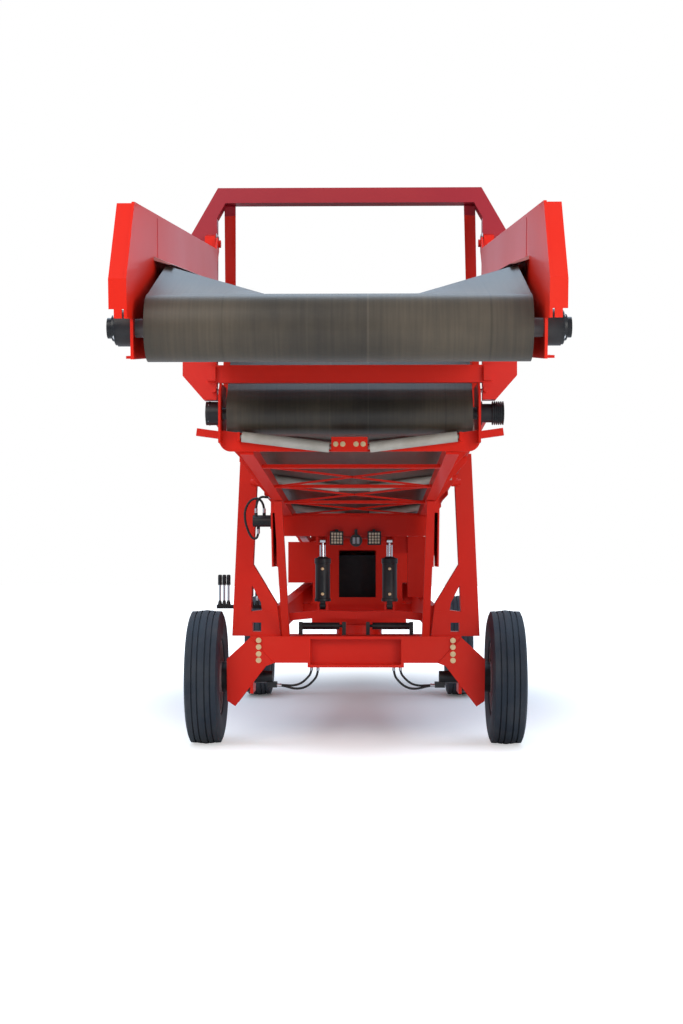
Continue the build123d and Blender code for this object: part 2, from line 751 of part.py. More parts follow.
vee_angle = atan2(vee_rise, belt_half - vee_fold)
snub_inner_z = 2056.4
snub_outer_z = 2112.7
return_places = [-3810 + n * 2 * idler_pitch for n in range(4)]
with BuildPart() as return_idlers:
    for along in return_places:
        for hand in (-1, 1):
            base_up = under_top - 7 - belt_thick - (return_radius + 2) / cos(vee_angle)
            inner_x, outer_x = 108, 608
            rod(
                on_boom(hand * inner_x, along, base_up + (inner_x - vee_fold) * tan(vee_angle)),
                on_boom(hand * outer_x, along, base_up + (outer_x - vee_fold) * tan(vee_angle)),
                return_radius,
            )
            arm_up = base_up + (outer_x - vee_fold) * tan(vee_angle)
            beam(on_boom(hand * (outer_x - 4), along, arm_up), on_boom(hand * panel_inner, along, arm_up), 24, 24, BOOM.z_dir)
            tab_x = hand * (panel_inner - 6)
            beam(on_boom(tab_x, along, arm_up), on_boom(tab_x, along, panel_low + 45), 40, 12, BOOM.x_dir)
        beam(on_boom(-inner_x - 20, along, base_up + 4), on_boom(inner_x + 20, along, base_up + 4), 30, 24, BOOM.z_dir)
    for hand in (-1, 1):
        inner = (hand * 107, snub_y, snub_inner_z)
        outer = (hand * 567, snub_y, snub_outer_z)
        rod(inner, outer, return_radius - 1)
        lean = (snub_outer_z - snub_inner_z) / 460
        stub = snub_bracket + 2
        rod((hand * stub, snub_y, snub_inner_z - (107 - stub) * lean), inner, 10)
        rod(outer, (hand * (snub_tab - 2), snub_y, snub_outer_z + (snub_tab - 2 - 567) * lean), 10)
save(return_idlers, "return_idlers")

# What hangs under the boom: the lift beam, the pivot beam, trunnion tube, hanger plates and lamps
lift_beam_y = lift_y
lift_beam_low = 1637
lift_beam_deep = 150
lift_beam_front = lift_beam_y - lift_beam_deep / 2
with BuildPart() as lift_beam:
    top_z = on_boom(0, lift_beam_y, 0)[2] - 0.6
    profile = (
        (lift_beam_front, lift_beam_low),
        (lift_beam_front + lift_beam_deep, lift_beam_low),
        (lift_beam_front + lift_beam_deep, top_z - tan(boom_angle) * lift_beam_deep / 2),
        (lift_beam_front, top_z + tan(boom_angle) * lift_beam_deep / 2),
    )
    plate(Plane.YZ.offset(-chord_inner - 80), profile, 2 * (chord_inner + 80))
    for hand in (-1, 1):
        for offset in (-55, 35):
            near = hand * lift_x + offset
            block((near, near + 20), (lift_y - 40, lift_y + 40), (rod_eye_z - 35, lift_beam_low))
        rod((hand * lift_x - 55, lift_y, rod_eye_z), (hand * lift_x + 55, lift_y, rod_eye_z), cylinder_pin)
save(lift_beam, "lift_beam")

with BuildPart() as boom_pivot:
    pivot_y = rear_axle_y
    under_pivot = on_boom(0, pivot_y, 0)[2]
    block((-chord_inner, chord_inner), (pivot_y - 50, pivot_y + 50), (under_pivot + 42, under_pivot + 98))
    for hand in (-1, 1):
        lug = ((pivot_y - 50, under_pivot + 60), (pivot_y + 50, under_pivot + 60), (pivot_y + 50, boom_pin_z - 50), (pivot_y - 50, boom_pin_z - 50))
        inner_x = pin_post_inner - 6 - 30
        plate(Plane.YZ.offset(inner_x if hand > 0 else -inner_x - 30), lug, 30)
        rod((hand * inner_x, pivot_y, boom_pin_z), (hand * (pin_post_inner + pin_post_plate + 8), pivot_y, boom_pin_z), boom_pin_radius - 0.3)
save(boom_pivot, "boom_pivot")

trunnion_radius = 33
trunnion_y = -250
trunnion_z = on_boom(0, trunnion_y, panel_low + panel_width / 2)[2]
trunnion_end = 790
hanger_x = chord_inner + chord_width
with BuildPart() as trunnion_tubes:
    for hand in (-1, 1):
        inner = hand * (bearing_x + 0.3)
        rod((inner, trunnion_y, trunnion_z), (hand * trunnion_end, trunnion_y, trunnion_z), trunnion_radius)
        rod((hand * trunnion_end, trunnion_y, trunnion_z), (hand * (trunnion_end + 22), trunnion_y, trunnion_z), 24)
save(trunnion_tubes, "trunnion_tubes")

with BuildPart() as hanger_plates:
    for hand in (-1, 1):
        outline = ((-700, 1960), (-700, 1800), (-560, 1396), (-40, 1396), (0, 1480), (0, 1960))
        start_x = hanger_x if hand > 0 else -hanger_x - 50
        plate(Plane.YZ.offset(start_x), outline, 12)
        plate(Plane.YZ.offset(start_x + 38), outline, 12)
        block((start_x, start_x + 50), (-700, -688), (1800, 1960))
        block((start_x, start_x + 50), (-12, 0), (1480, 1960))
save(hanger_plates, "hanger_plates")

lamp_size = 105
with BuildPart() as work_lamps:
    for x in (-155, 146):
        block((x - lamp_size / 2, x + lamp_size / 2), (lift_beam_front - 60, lift_beam_front - 6), (1567, 1672))
        block((x - 12, x + 12), (lift_beam_front - 30, lift_beam_front), (1640, 1690))
    rod((0, lift_beam_front - 60, 1600), (0, lift_beam_front - 10, 1600), 50)
    block((-12, 12), (lift_beam_front - 30, lift_beam_front), (1630, 1690))
save(work_lamps, "work_lamps")

# Skirts and hopper on the main conveyor
hopper_half = 950
hopper_front = 5000
hopper_wall = 8
hopper_low = carry_up + trough_rise + 10
hopper_high = 1500
with BuildPart() as feed_hopper:
    for hand in (-1, 1):
        slope = ((hand * (belt_half - 30), hopper_low), (hand * (belt_half - 30), hopper_low + 120), (hand * hopper_half, hopper_high), (hand * (hopper_half + hopper_wall), hopper_high), (hand * (belt_half - 22), hopper_low + 112), (hand * (belt_half - 22), hopper_low))
        plate(Plane(origin=on_boom(0, hopper_rear, 0), x_dir=(1, 0, 0), z_dir=-BOOM.y_dir), slope, hopper_rear - hopper_front)
        for along in (hopper_front + 200, hopper_rear - 420):
            beam(on_boom(hand * (panel_inner + 25), along, panel_top), on_boom(hand * (panel_inner + 25), along, hopper_low + 230), 50, 50, BOOM.y_dir)
    end = ((-hopper_half, hopper_high), (-belt_half + 30, hopper_low + 120), (-belt_half + 30, hopper_low), (belt_half - 30, hopper_low), (belt_half - 30, hopper_low + 120), (hopper_half, hopper_high))
    plate(Plane(origin=on_boom(0, hopper_rear, 0), x_dir=(1, 0, 0), z_dir=-BOOM.y_dir), end, 8)
save(feed_hopper, "feed_hopper")

skirt_front = -3070
with BuildPart() as main_skirts:
    for hand in (-1, 1):
        inner = sorted((hand * (panel_inner + 0), hand * (panel_inner + wing_plate)))
        sheet_outline = ((skirt_front, panel_top + 40), (hopper_front - 60, panel_top + 40), (hopper_front - 60, panel_top + 330), (skirt_front, panel_top + 430))
        plate(side_plane(BOOM, inner[0]), sheet_outline, wing_plate)
save(main_skirts, "main_skirts")

# Head jib: two side channels with tall wing plates, joined by cross tubes, on hinge lugs at the rear
jib_rear = jib_length
channel_low = -105
channel_top = 95
channel_deep = 60
wing_out = 60
lug_up = JIB.to_local_coords(Vector(0, hinge_y, hinge_z)).Z
lug_along = JIB.to_local_coords(Vector(0, hinge_y, hinge_z)).Y
hinge_radius = 20
with BuildPart() as jib_frame:
    for hand in (-1, 1):
        near = hand * wing_inner if hand > 0 else -wing_inner - wing_plate
        web = ((-70, channel_low), (jib_rear, channel_low), (jib_rear, channel_top), (-70, channel_top))
        plate(side_plane(JIB, near), web, wing_plate)
        for up in (channel_low, channel_top - wing_plate):
            edge = hand * (wing_inner + channel_deep / 2)
            beam(on_jib(edge, 160, up + wing_plate / 2), on_jib(edge, jib_rear, up + wing_plate / 2), channel_deep, wing_plate, JIB.z_dir)
    for along in (700, 1500, 2300):
        beam(on_jib(-wing_inner, along, -60), on_jib(wing_inner, along, -60), 60, 60, JIB.z_dir)
    with BuildSketch(side_plane(JIB, -900)) as shaft_hole:
        Circle(shaft_hole_radius)
    extrude(shaft_hole.sketch, amount=1800, mode=Mode.SUBTRACT)
save(jib_frame, "jib_frame")

with BuildPart() as jib_wings:
    for hand in (-1, 1):
        near = hand * wing_inner if hand > 0 else -wing_inner - wing_plate
        wing = (
            (-205, 30),
            (-70, 30),
            (-70, channel_top),
            (jib_rear, channel_top),
            (jib_rear, lug_up - 110),
            (lug_along + 25, lug_up - 35),
            (lug_along + 25, lug_up + 28),
            (lug_along - 45, lug_up + 28),
            (lug_along - 110, wing_top + 12),
            (10, wing_top),
            (-205, 160),
        )
        plate(side_plane(JIB, near), wing, wing_plate)
        edge = hand * (wing_inner + wing_out / 2)
        beam(on_jib(edge, -200, 60), on_jib(edge, -200, 160), wing_out, 10, JIB.y_dir)
        beam(on_jib(edge, -200, 155), on_jib(edge, 12, wing_top - 8), wing_out, 10, JIB.y_dir)
        beam(on_jib(edge, -200, 62), on_jib(edge, -200, 30), 26, 10, JIB.y_dir)
    with BuildSketch(side_plane(JIB, -900)) as hinge_bore:
        with Locations((lug_along, lug_up)):
            Circle(hinge_radius + 0.3)
    extrude(hinge_bore.sketch, amount=1800, mode=Mode.SUBTRACT)
save(jib_wings, "jib_wings")

# Jib belt: troughed on top and flat underneath, over the head drum and the rear drum
jib_drum_along = jib_rear - 130
jib_fold = 230
jib_rise = 120
with BuildPart() as jib_belt:
    belt_run(
        JIB,
        (
            (0, belt_outer, belt_outer),
            (520, belt_outer, belt_outer + jib_rise),
            (jib_drum_along - 520, belt_outer, belt_outer + jib_rise),
            (jib_drum_along, belt_outer, belt_outer),
        ),
        jib_fold,
    )
    belt_run(JIB, ((0, -drum_radius, -drum_radius), (jib_drum_along, -drum_radius, -drum_radius)), jib_fold)
    wrap(JIB, 0, 0, 90, 270)
    wrap(JIB, jib_drum_along, 0, -90, 90)
save(jib_belt, "jib_belt")

with BuildPart() as jib_drums:
    turn_drum(JIB, 0, 0, -745, 745)
    turn_drum(JIB, jib_drum_along, 0, -wing_inner + 1, wing_inner - 1)
save(jib_drums, "jib_drums")

with BuildPart() as head_bearings:
    for hand in (-1, 1):
        at_y, at_z = head_drum_y, head_drum_z
        rod((hand * (wing_inner + wing_plate), at_y, at_z), (hand * 750, at_y, at_z), 62)
        rod((hand * 745, at_y, at_z), (hand * 786, at_y, at_z), 35)
    with BuildSketch(Plane.YZ.offset(-746)) as bore:
        with Locations((at_y, at_z)):
            Circle(shaft_hole_radius)
    extrude(bore.sketch, amount=2 * 746, mode=Mode.SUBTRACT)
save(head_bearings, "head_bearings")

jib_idlers_at = (620, 1300, 1980)
with BuildPart() as jib_idlers:
    for along in jib_idlers_at:
        under = belt_outer - belt_thick - 30 - roller_gap
        rod(on_jib(-jib_fold + 12, along, under), on_jib(jib_fold - 12, along, under), 30)
        beam(on_jib(-wing_inner, along, 12), on_jib(wing_inner, along, 12), 50, 24, JIB.z_dir)
        jib_trough = atan2(jib_rise, belt_half - jib_fold)
        for x in (-150, 150):
            beam(on_jib(x, along, 12), on_jib(x, along, under), 10, 24, JIB.y_dir)
        for hand in (-1, 1):
            inner = (jib_fold + 16, under + 16 * tan(jib_trough) - 2)
            outer = (belt_half - 25, inner[1] + (belt_half - 25 - inner[0]) * tan(jib_trough))
            rod(on_jib(hand * inner[0], along, inner[1]), on_jib(hand * outer[0], along, outer[1]), 30)
            for x in (jib_fold + 60, belt_half - 70):
                up = inner[1] + (x - inner[0]) * tan(jib_trough)
                beam(on_jib(hand * x, along, 12), on_jib(hand * x, along, up), 10, 24, JIB.y_dir)
save(jib_idlers, "jib_idlers")

# Hinge blocks on the portal that carry the jib's pins, and the two lift cylinders
with BuildPart() as jib_hinges:
    for hand in (-1, 1):
        edges = sorted((hand * (wing_inner + wing_plate + 5), hand * 760))
        ear = ((ring_front, hinge_z + 60), (ring_front, hinge_z - 60), (hinge_y - 35, hinge_z - 35), (hinge_y - 35, hinge_z + 35))
        plate(Plane.YZ.offset(edges[0]), ear, edges[1] - edges[0])
        rod((hand * (wing_inner - 12), hinge_y, hinge_z), (hand * 740, hinge_y, hinge_z), hinge_radius)
save(jib_hinges, "jib_hinges")

barrel_low = 1110
barrel_top = 1458
barrel_radius = 60
rod_radius = 25
rod_low = 1130
eye_play = 2.5
with BuildPart() as lift_barrels:
    for hand in (-1, 1):
        x = hand * lift_x
        rod((x, lift_y, barrel_low), (x, lift_y, barrel_top), barrel_radius)
        with Locations((x, lift_y, (foot_eye_z + barrel_low) / 2 + 5)):
            Box(2 * eye_half, 1.6 * eye_radius, barrel_low - foot_eye_z + 10)
        rod((x - eye_half, lift_y, foot_eye_z), (x + eye_half, lift_y, foot_eye_z), eye_radius)
        with BuildSketch(Plane.XY.offset(rod_low - 5)) as bore:
            with Locations((x, lift_y)):
                Circle(rod_radius + 0.3)
        extrude(bore.sketch, amount=barrel_top, mode=Mode.SUBTRACT)
    with BuildSketch(Plane.YZ.offset(-400)) as foot_bore:
        with Locations((lift_y, foot_eye_z)):
            Circle(cylinder_pin + 0.3)
    extrude(foot_bore.sketch, amount=800, mode=Mode.SUBTRACT)
save(lift_barrels, "lift_barrels")

with BuildPart() as lift_rods:
    for hand in (-1, 1):
        x = hand * lift_x
        rod((x, lift_y, rod_low), (x, lift_y, rod_eye_z), rod_radius)
        rod((x - eye_half, lift_y, rod_eye_z), (x + eye_half, lift_y, rod_eye_z), eye_radius)
    with BuildSketch(Plane.YZ.offset(-400)) as eye_bore:
        with Locations((lift_y, rod_eye_z)):
            Circle(cylinder_pin + eye_play)
    extrude(eye_bore.sketch, amount=800, mode=Mode.SUBTRACT)
save(lift_rods, "lift_rods")

# Hoses of the wheel motors: each leaves a port block and loops up into the beam's underside
hose_gap = 0.3
hose_radius = 9
hose_start = port_face - hose_gap
hose_end = recess_low - hose_gap
port_z = 458
wheel_hose_routes = (
    ("outer", -22, ((hose_start, port_z), (575, port_z), (480, 430), (400, 440), (338, 488), (298, 546), (298, hose_end))),
    ("inner", 22, ((hose_start, port_z), (585, port_z), (500, 452), (436, 468), (386, 510), (350, 556), (350, hose_end))),
)


def hose(name, points, radius):
    """One hose: straight runs joined by tangent arcs through its points, swept with a round section."""
    corners = []
    for before, here, after in zip(points[:-2], points[1:-1], points[2:]):
        run_in = Vector(*here) - Vector(*before)
        run_out = Vector(*after) - Vector(*here)
        half_turn = radians(run_in.get_angle(run_out)) / 2
        corners.append(0.45 * min(run_in.length, run_out.length) / tan(half_turn))
    with BuildPart() as tube:
        with BuildLine() as path:
            FilletPolyline(*points, radius=corners)
        start = Vector(*points[0])
        with BuildSketch(Plane(origin=start, z_dir=Vector(*points[1]) - start)):
            Circle(radius)
        sweep(path=path.line)
    save(tube, name)


for side_name, hand in (("left", -1), ("right", 1)):
    for place, lane, route in wheel_hose_routes:
        hose(f"wheel_hose_{side_name}_{place}", [(hand * x, lane, z) for x, z in route], hose_radius)

# Side motor on the left hanger plate, with its looping hoses
side_motor_y = -400
side_motor_z = 1745
side_motor_radius = 45
hanger_out = hanger_x + 50
side_motor_end = 785
with BuildPart() as side_motor:
    rod((-hanger_out, side_motor_y, side_motor_z), (-side_motor_end, side_motor_y, side_motor_z), side_motor_radius)
    block((-hanger_out - 18, -hanger_out), (side_motor_y - 60, side_motor_y + 60), (side_motor_z - 60, side_motor_z + 60))
    for port_x, port_y in ((-760, -420), (-700, -380)):
        rod((port_x, port_y, side_motor_z + 30), (port_x, port_y, side_motor_z + 62), 13)
    rod((-745, -380, side_motor_z - 30), (-745, -380, side_motor_z - 62), 13)
save(side_motor, "side_motor")
side_port_high = side_motor_z + 62 + hose_gap
side_port_low = side_motor_z - 62 - hose_gap
side_hose_routes = (
    (
        "side_hose_arch",
        (
            (-760, -420, side_port_high),
            (-760, -420, 1880),
            (-725, -421, 1932),
            (-676, -422, 1925),
            (-hanger_out - hose_gap, -422, 1925),
        ),
    ),
    (
        "side_hose_loop",
        (
            (-700, -380, side_port_high),
            (-700, -380, 1868),
            (-744, -376, 1926),
            (-806, -374, 1908),
            (-848, -374, 1838),
            (-850, -374, 1752),
            (-818, -377, 1650),
            (-782, -379, 1604),
            (-745, -380, 1622),
            (-745, -380, side_port_low),
        ),
    ),
)
for hose_name, route in side_hose_routes:
    hose(hose_name, route, hose_radius)

seat_gap = 0.3

# Lever bank on an arm from the left side beam
lever_y = 500
lever_arm_z = 1060
lever_low = 1075
lever_high = 1320
lever_places = (-1120, -1085, -1050, -860, -815)
with BuildPart() as lever_bank:
    beam_edge = side_front.X + side_wide / 2 - (lever_y - side_front.Y) * (side_front.X - side_rear.X) / (side_rear.Y - side_front.Y) + 2
    block((-1145, -beam_edge), (lever_y - 30, lever_y + 30), (lever_arm_z - 15, lever_low))
    for x in lever_places:
        top = lever_high if x < -1000 else lever_high - 90
        rod((x, lever_y, lever_low), (x, lever_y, top - 80), 9)
        rod((x, lever_y, top - 80), (x, lever_y, top), 15)
save(lever_bank, "lever_bank")

# Small cylinders on brackets along the back of the axle beam
small_y = 110
small_z = 920
with BuildPart() as axle_cylinders:
    for hand in (-1, 1):
        rod((hand * 130, small_y, small_z), (hand * 440, small_y, small_z), 28)
        rod((hand * 80, small_y, small_z), (hand * 130, small_y, small_z), 12)
        for x in (80, 425):
            block(sorted((hand * x, hand * (x + 30))), (small_y - 30, small_y + 30), (axle_top, small_z + 32))
save(axle_cylinders, "axle_cylinders")

# Control cabinet standing on the right side beam, on a foot that follows the beam's slope
beam_rise = (side_rear.Z - side_front.Z) / (side_rear.Y - side_front.Y)
beam_top_at_front = side_front.Z + side_deep / 2 / cos(atan2(beam_rise, 1)) + seat_gap
foot_front = 840
foot_rear = 980
cabinet_low = 1130
cabinet_top = 1640
with BuildPart() as control_cabinet:
    block((430, 590), (820, 1000), (cabinet_low, cabinet_top))
    block((300, 440), (860, 990), (cabinet_top - 140, cabinet_top))
    foot = (
        (foot_front, beam_top_at_front + beam_rise * (foot_front - side_front.Y)),
        (foot_rear, beam_top_at_front + beam_rise * (foot_rear - side_front.Y)),
        (foot_rear, cabinet_low + 10),
        (foot_front, cabinet_low + 10),
    )
    plate(Plane.YZ.offset(520), foot, 70)
save(control_cabinet, "control_cabinet")

# Rubber side skirts between the jib's wings and its belt
skirt_low = belt_outer + jib_rise + 2
skirt_edge = belt_half - 30
skirt_start = 480
with BuildPart() as jib_skirts:
    for hand in (-1, 1):
        strip = (
            (hand * wing_inner, skirt_low + 30),
            (hand * wing_inner, skirt_low + 16),
            (hand * (skirt_edge + 14), skirt_low),
            (hand * skirt_edge, skirt_low),
        )
        skirt_plane = Plane(origin=on_jib(0, jib_rear - 150, 0), x_dir=(1, 0, 0), z_dir=-JIB.y_dir)
        plate(skirt_plane, strip, jib_rear - 150 - skirt_start)
save(jib_skirts, "jib_skirts")
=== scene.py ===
"""The finish of a wheeled stacker conveyor: paint, tread, bolts, lamps, hoses, studio and camera."""

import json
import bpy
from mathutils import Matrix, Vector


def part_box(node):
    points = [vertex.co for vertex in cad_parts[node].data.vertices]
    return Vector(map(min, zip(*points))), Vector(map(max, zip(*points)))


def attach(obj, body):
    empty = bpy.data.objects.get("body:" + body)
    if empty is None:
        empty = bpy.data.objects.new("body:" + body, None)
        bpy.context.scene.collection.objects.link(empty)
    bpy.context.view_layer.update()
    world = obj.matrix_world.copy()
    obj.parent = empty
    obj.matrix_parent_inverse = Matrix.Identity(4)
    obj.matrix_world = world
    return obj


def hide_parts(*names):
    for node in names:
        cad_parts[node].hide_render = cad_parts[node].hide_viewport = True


bl_info = {
    "name": "Stacker Conveyor Finish",
    "version": (1, 0, 0),
    "blender": (4, 5, 0),
    "location": "View3D > Sidebar > Stacker",
    "description": "Dresses the stacker conveyor's frame with its paint, tyres, fasteners and hoses",
    "category": "Object",
}

from math import cos, pi, radians, sin

import bmesh
import bpy
from mathutils import Matrix, Vector

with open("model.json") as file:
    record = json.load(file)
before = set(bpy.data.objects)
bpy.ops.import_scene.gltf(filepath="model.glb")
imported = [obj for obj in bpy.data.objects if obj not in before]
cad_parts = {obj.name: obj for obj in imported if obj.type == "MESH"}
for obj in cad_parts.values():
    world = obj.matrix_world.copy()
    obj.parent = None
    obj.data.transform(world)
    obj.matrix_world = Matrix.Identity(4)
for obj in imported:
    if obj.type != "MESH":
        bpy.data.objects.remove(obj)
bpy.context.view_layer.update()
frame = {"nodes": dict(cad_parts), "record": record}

SIDES = (-1, 1)

# Places read from the frame
TYRE_LOW, TYRE_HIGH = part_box("tyre_front_left")
TYRE_RADIUS = (TYRE_HIGH[2] - TYRE_LOW[2]) / 2
AXLE_FRONT_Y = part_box("axle_beam")[0][1]
LAMP_FRONT_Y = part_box("work_lamps")[0][1]
HEAD_LOW, HEAD_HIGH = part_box("head_bearings")
HEAD_Y = (HEAD_LOW[1] + HEAD_HIGH[1]) / 2
HEAD_Z = (HEAD_LOW[2] + HEAD_HIGH[2]) / 2

# Camera, from the size of the tyres and of the nearer and farther parts in the photograph
CAMERA_PLACE = (0.10, -12.64, 1.50)
CAMERA_TILT = 1.468
CAMERA_TURN = 0.967
LENS_MM = 56.25
FRAME_LONG_SIDE_MM = 36.0

# Light colours, and the lamps: name, place, aim, power in watts, size and colour
WARM_LIGHT = (1.0, 0.97, 0.92)
SKY_LIGHT = (0.62, 0.80, 1.0)
STUDIO_LAMPS = (
    ("key", (-5, -13, 8), (0, -3, 1.2), 540, 6, WARM_LIGHT),
    ("fill", (7, -13, 4), (0, -2, 1.3), 470, 6, WARM_LIGHT),
    ("top", (0, 1, 11), (0, 1, 0), 700, 9, SKY_LIGHT),
    ("back", (0, 15, 9), (0, 5, 1.5), 190, 8, SKY_LIGHT),
)

# The floor: its half size, and the oval round the machine outside which a painted glow makes the camera see
# it as white; inside the oval the glow fades, a painted shade round the machine's real shadow
FLOOR_HALF = 60
SHADOW_MIDDLE_Y = 3.6
SHADOW_SQUASH = 0.6
SHADOW_START = 1.0
SHADOW_END = 4.0
SHADOW_GLOW = 0.06


def finish_mesh(name, shape, material, body, smooth=True):
    """Turns a bmesh into a named piece with one material, riding on a CAD body."""
    mesh = bpy.data.meshes.new(name)
    shape.to_mesh(mesh)
    shape.free()
    piece = bpy.data.objects.new(name, mesh)
    bpy.context.scene.collection.objects.link(piece)
    mesh.materials.append(material)
    for face in mesh.polygons:
        face.use_smooth = smooth
    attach(piece, body)
    return piece


def dress(node, material):
    """Gives a CAD node its finished material in every slot."""
    thing = frame["nodes"][node]
    if not thing.material_slots:
        thing.data.materials.append(material)
    for place in thing.material_slots:
        place.material = material


def add_socket(tree, name, in_out, kind, default=None):
    """One named socket on a node group's interface."""
    socket = tree.interface.new_socket(name=name, in_out=in_out, socket_type=kind)
    if default is not None:
        socket.default_value = default
    return socket


def weather_group():
    """Dust and faint colour drift over a surface, with a fine orange-peel height."""
    if "Weathering" in bpy.data.node_groups:
        return bpy.data.node_groups["Weathering"]
    tree = bpy.data.node_groups.new("Weathering", "ShaderNodeTree")
    add_socket(tree, "Base", "INPUT", "NodeSocketColor", (0.5, 0.5, 0.5, 1))
    add_socket(tree, "Dust", "INPUT", "NodeSocketColor", (0.5, 0.45, 0.4, 1))
    add_socket(tree, "Dust Amount", "INPUT", "NodeSocketFloat", 0.1)
    add_socket(tree, "Patch Scale", "INPUT", "NodeSocketFloat", 3.0)
    add_socket(tree, "Grain Scale", "INPUT", "NodeSocketFloat", 120.0)
    add_socket(tree, "Roughness Low", "INPUT", "NodeSocketFloat", 0.25)
    add_socket(tree, "Roughness High", "INPUT", "NodeSocketFloat", 0.45)
    add_socket(tree, "Color", "OUTPUT", "NodeSocketColor")
    add_socket(tree, "Roughness", "OUTPUT", "NodeSocketFloat")
    add_socket(tree, "Height", "OUTPUT", "NodeSocketFloat")
    nodes, links = tree.nodes, tree.links
    entry = nodes.new("NodeGroupInput")
    leave = nodes.new("NodeGroupOutput")
    where = nodes.new("ShaderNodeTexCoord")
    patches = nodes.new("ShaderNodeTexNoise")
    patches.inputs["Detail"].default_value = 6
    links.new(where.outputs["Object"], patches.inputs["Vector"])
    links.new(entry.outputs["Patch Scale"], patches.inputs["Scale"])
    spread = nodes.new("ShaderNodeMapRange")
    spread.inputs["From Min"].default_value = 0.42
    spread.inputs["From Max"].default_value = 0.72
    links.new(patches.outputs["Fac"], spread.inputs["Value"])
    amount = nodes.new("ShaderNodeMath")
    amount.operation = "MULTIPLY"
    links.new(spread.outputs["Result"], amount.inputs[0])
    links.new(entry.outputs["Dust Amount"], amount.inputs[1])
    mixed = nodes.new("ShaderNodeMix")
    mixed.data_type = "RGBA"
    links.new(amount.outputs["Value"], mixed.inputs["Factor"])
    links.new(entry.outputs["Base"], mixed.inputs["A"])
    links.new(entry.outputs["Dust"], mixed.inputs["B"])
    links.new(mixed.outputs["Result"], leave.inputs["Color"])
    rough = nodes.new("ShaderNodeMapRange")
    links.new(patches.outputs["Fac"], rough.inputs["Value"])
    links.new(entry.outputs["Roughness Low"], rough.inputs["To Min"])
    links.new(entry.outputs["Roughness High"], rough.inputs["To Max"])
    links.new(rough.outputs["Result"], leave.inputs["Roughness"])
    grain = nodes.new("ShaderNodeTexNoise")
    grain.inputs["Detail"].default_value = 3
    links.new(where.outputs["Object"], grain.inputs["Vector"])
    links.new(entry.outputs["Grain Scale"], grain.inputs["Scale"])
    links.new(grain.outputs["Fac"], leave.inputs["Height"])
    return tree


def weathered(name, base, dust, dust_amount, patch, grain, rough, bump, metallic=0.0, coat=0.0, gloss=0.35):
    """A painted, rubber or metal finish built on the shared weathering group."""
    material = bpy.data.materials.new(name)
    material.use_nodes = True
    nodes, links = material.node_tree.nodes, material.node_tree.links
    shader = nodes["Principled BSDF"]
    shader.inputs["Metallic"].default_value = metallic
    shader.inputs["Specular IOR Level"].default_value = gloss
    shader.inputs["Coat Weight"].default_value = coat
    shader.inputs["Coat Roughness"].default_value = 0.08
    wear = nodes.new("ShaderNodeGroup")
    wear.node_tree = weather_group()
    wear.inputs["Base"].default_value = (*base, 1)
    wear.inputs["Dust"].default_value = (*dust, 1)
    wear.inputs["Dust Amount"].default_value = dust_amount
    wear.inputs["Patch Scale"].default_value = patch
    wear.inputs["Grain Scale"].default_value = grain
    wear.inputs["Roughness Low"].default_value = rough[0]
    wear.inputs["Roughness High"].default_value = rough[1]
    raised = nodes.new("ShaderNodeBump")
    raised.inputs["Strength"].default_value = bump
    raised.inputs["Distance"].default_value = 0.001
    links.new(wear.outputs["Color"], shader.inputs["Base Color"])
    links.new(wear.outputs["Roughness"], shader.inputs["Roughness"])
    links.new(wear.outputs["Height"], raised.inputs["Height"])
    links.new(raised.outputs["Normal"], shader.inputs["Normal"])
    return material


def belt_material():
    """Belt rubber: grey-brown, scrubbed along its travel, with faint cross streaks, and with painted shade
    and painted highlight lines at its creases and folds.
    """
    material = weathered("belt_rubber", *BELT_FINISH)
    nodes, links = material.node_tree.nodes, material.node_tree.links
    shader = nodes["Principled BSDF"]
    wear = next(node for node in nodes if node.type == "GROUP")
    where = nodes.new("ShaderNodeTexCoord")
    stretch = nodes.new("ShaderNodeMapping")
    stretch.inputs["Scale"].default_value = (60.0, 0.4, 2.4)
    streaks = nodes.new("ShaderNodeTexNoise")
    streaks.inputs["Scale"].default_value = 1.6
    streaks.inputs["Detail"].default_value = 5
    shade = nodes.new("ShaderNodeMix")
    shade.data_type = "RGBA"
    shade.blend_type = "MULTIPLY"
    shade.inputs["Factor"].default_value = 0.75
    tone = nodes.new("ShaderNodeValToRGB")
    tone.color_ramp.elements[0].position = 0.32
    tone.color_ramp.elements[0].color = (0.78, 0.78, 0.80, 1)
    tone.color_ramp.elements[1].position = 0.68
    tone.color_ramp.elements[1].color = (1.12, 1.10, 1.06, 1)
    links.new(where.outputs["Object"], stretch.inputs["Vector"])
    links.new(stretch.outputs["Vector"], streaks.inputs["Vector"])
    links.new(streaks.outputs["Fac"], tone.inputs["Fac"])
    links.new(wear.outputs["Color"], shade.inputs["A"])
    links.new(tone.outputs["Color"], shade.inputs["B"])
    # Painted shade in the belt's creases and painted highlights along its folds
    fold_tone_node = nodes.new("ShaderNodeGroup")
    fold_tone_node.node_tree = fold_light_group()
    fold_lit_mix = nodes.new("ShaderNodeMix")
    fold_lit_mix.data_type = "RGBA"
    fold_lit_mix.blend_type = "MULTIPLY"
    fold_lit_mix.inputs["Factor"].default_value = 1.0
    links.new(shade.outputs["Result"], fold_lit_mix.inputs["A"])
    links.new(fold_tone_node.outputs["Tone"], fold_lit_mix.inputs["B"])
    links.new(fold_lit_mix.outputs["Result"], shader.inputs["Base Color"])
    return material


# Painted shade and painted highlight lines along the belt's creases and folds: place across the belt and how
# light each one is, their half width, and half the width that the tone's ramp spans
FOLD_LIGHT_LINES = ((-0.473, 0.45), (-0.387, 0.6), (-0.106, 1.7), (0.098, 1.7), (0.508, 0.6))
FOLD_LIGHT_LINE_HALF = 0.0035
RAMP_HALF = 0.70


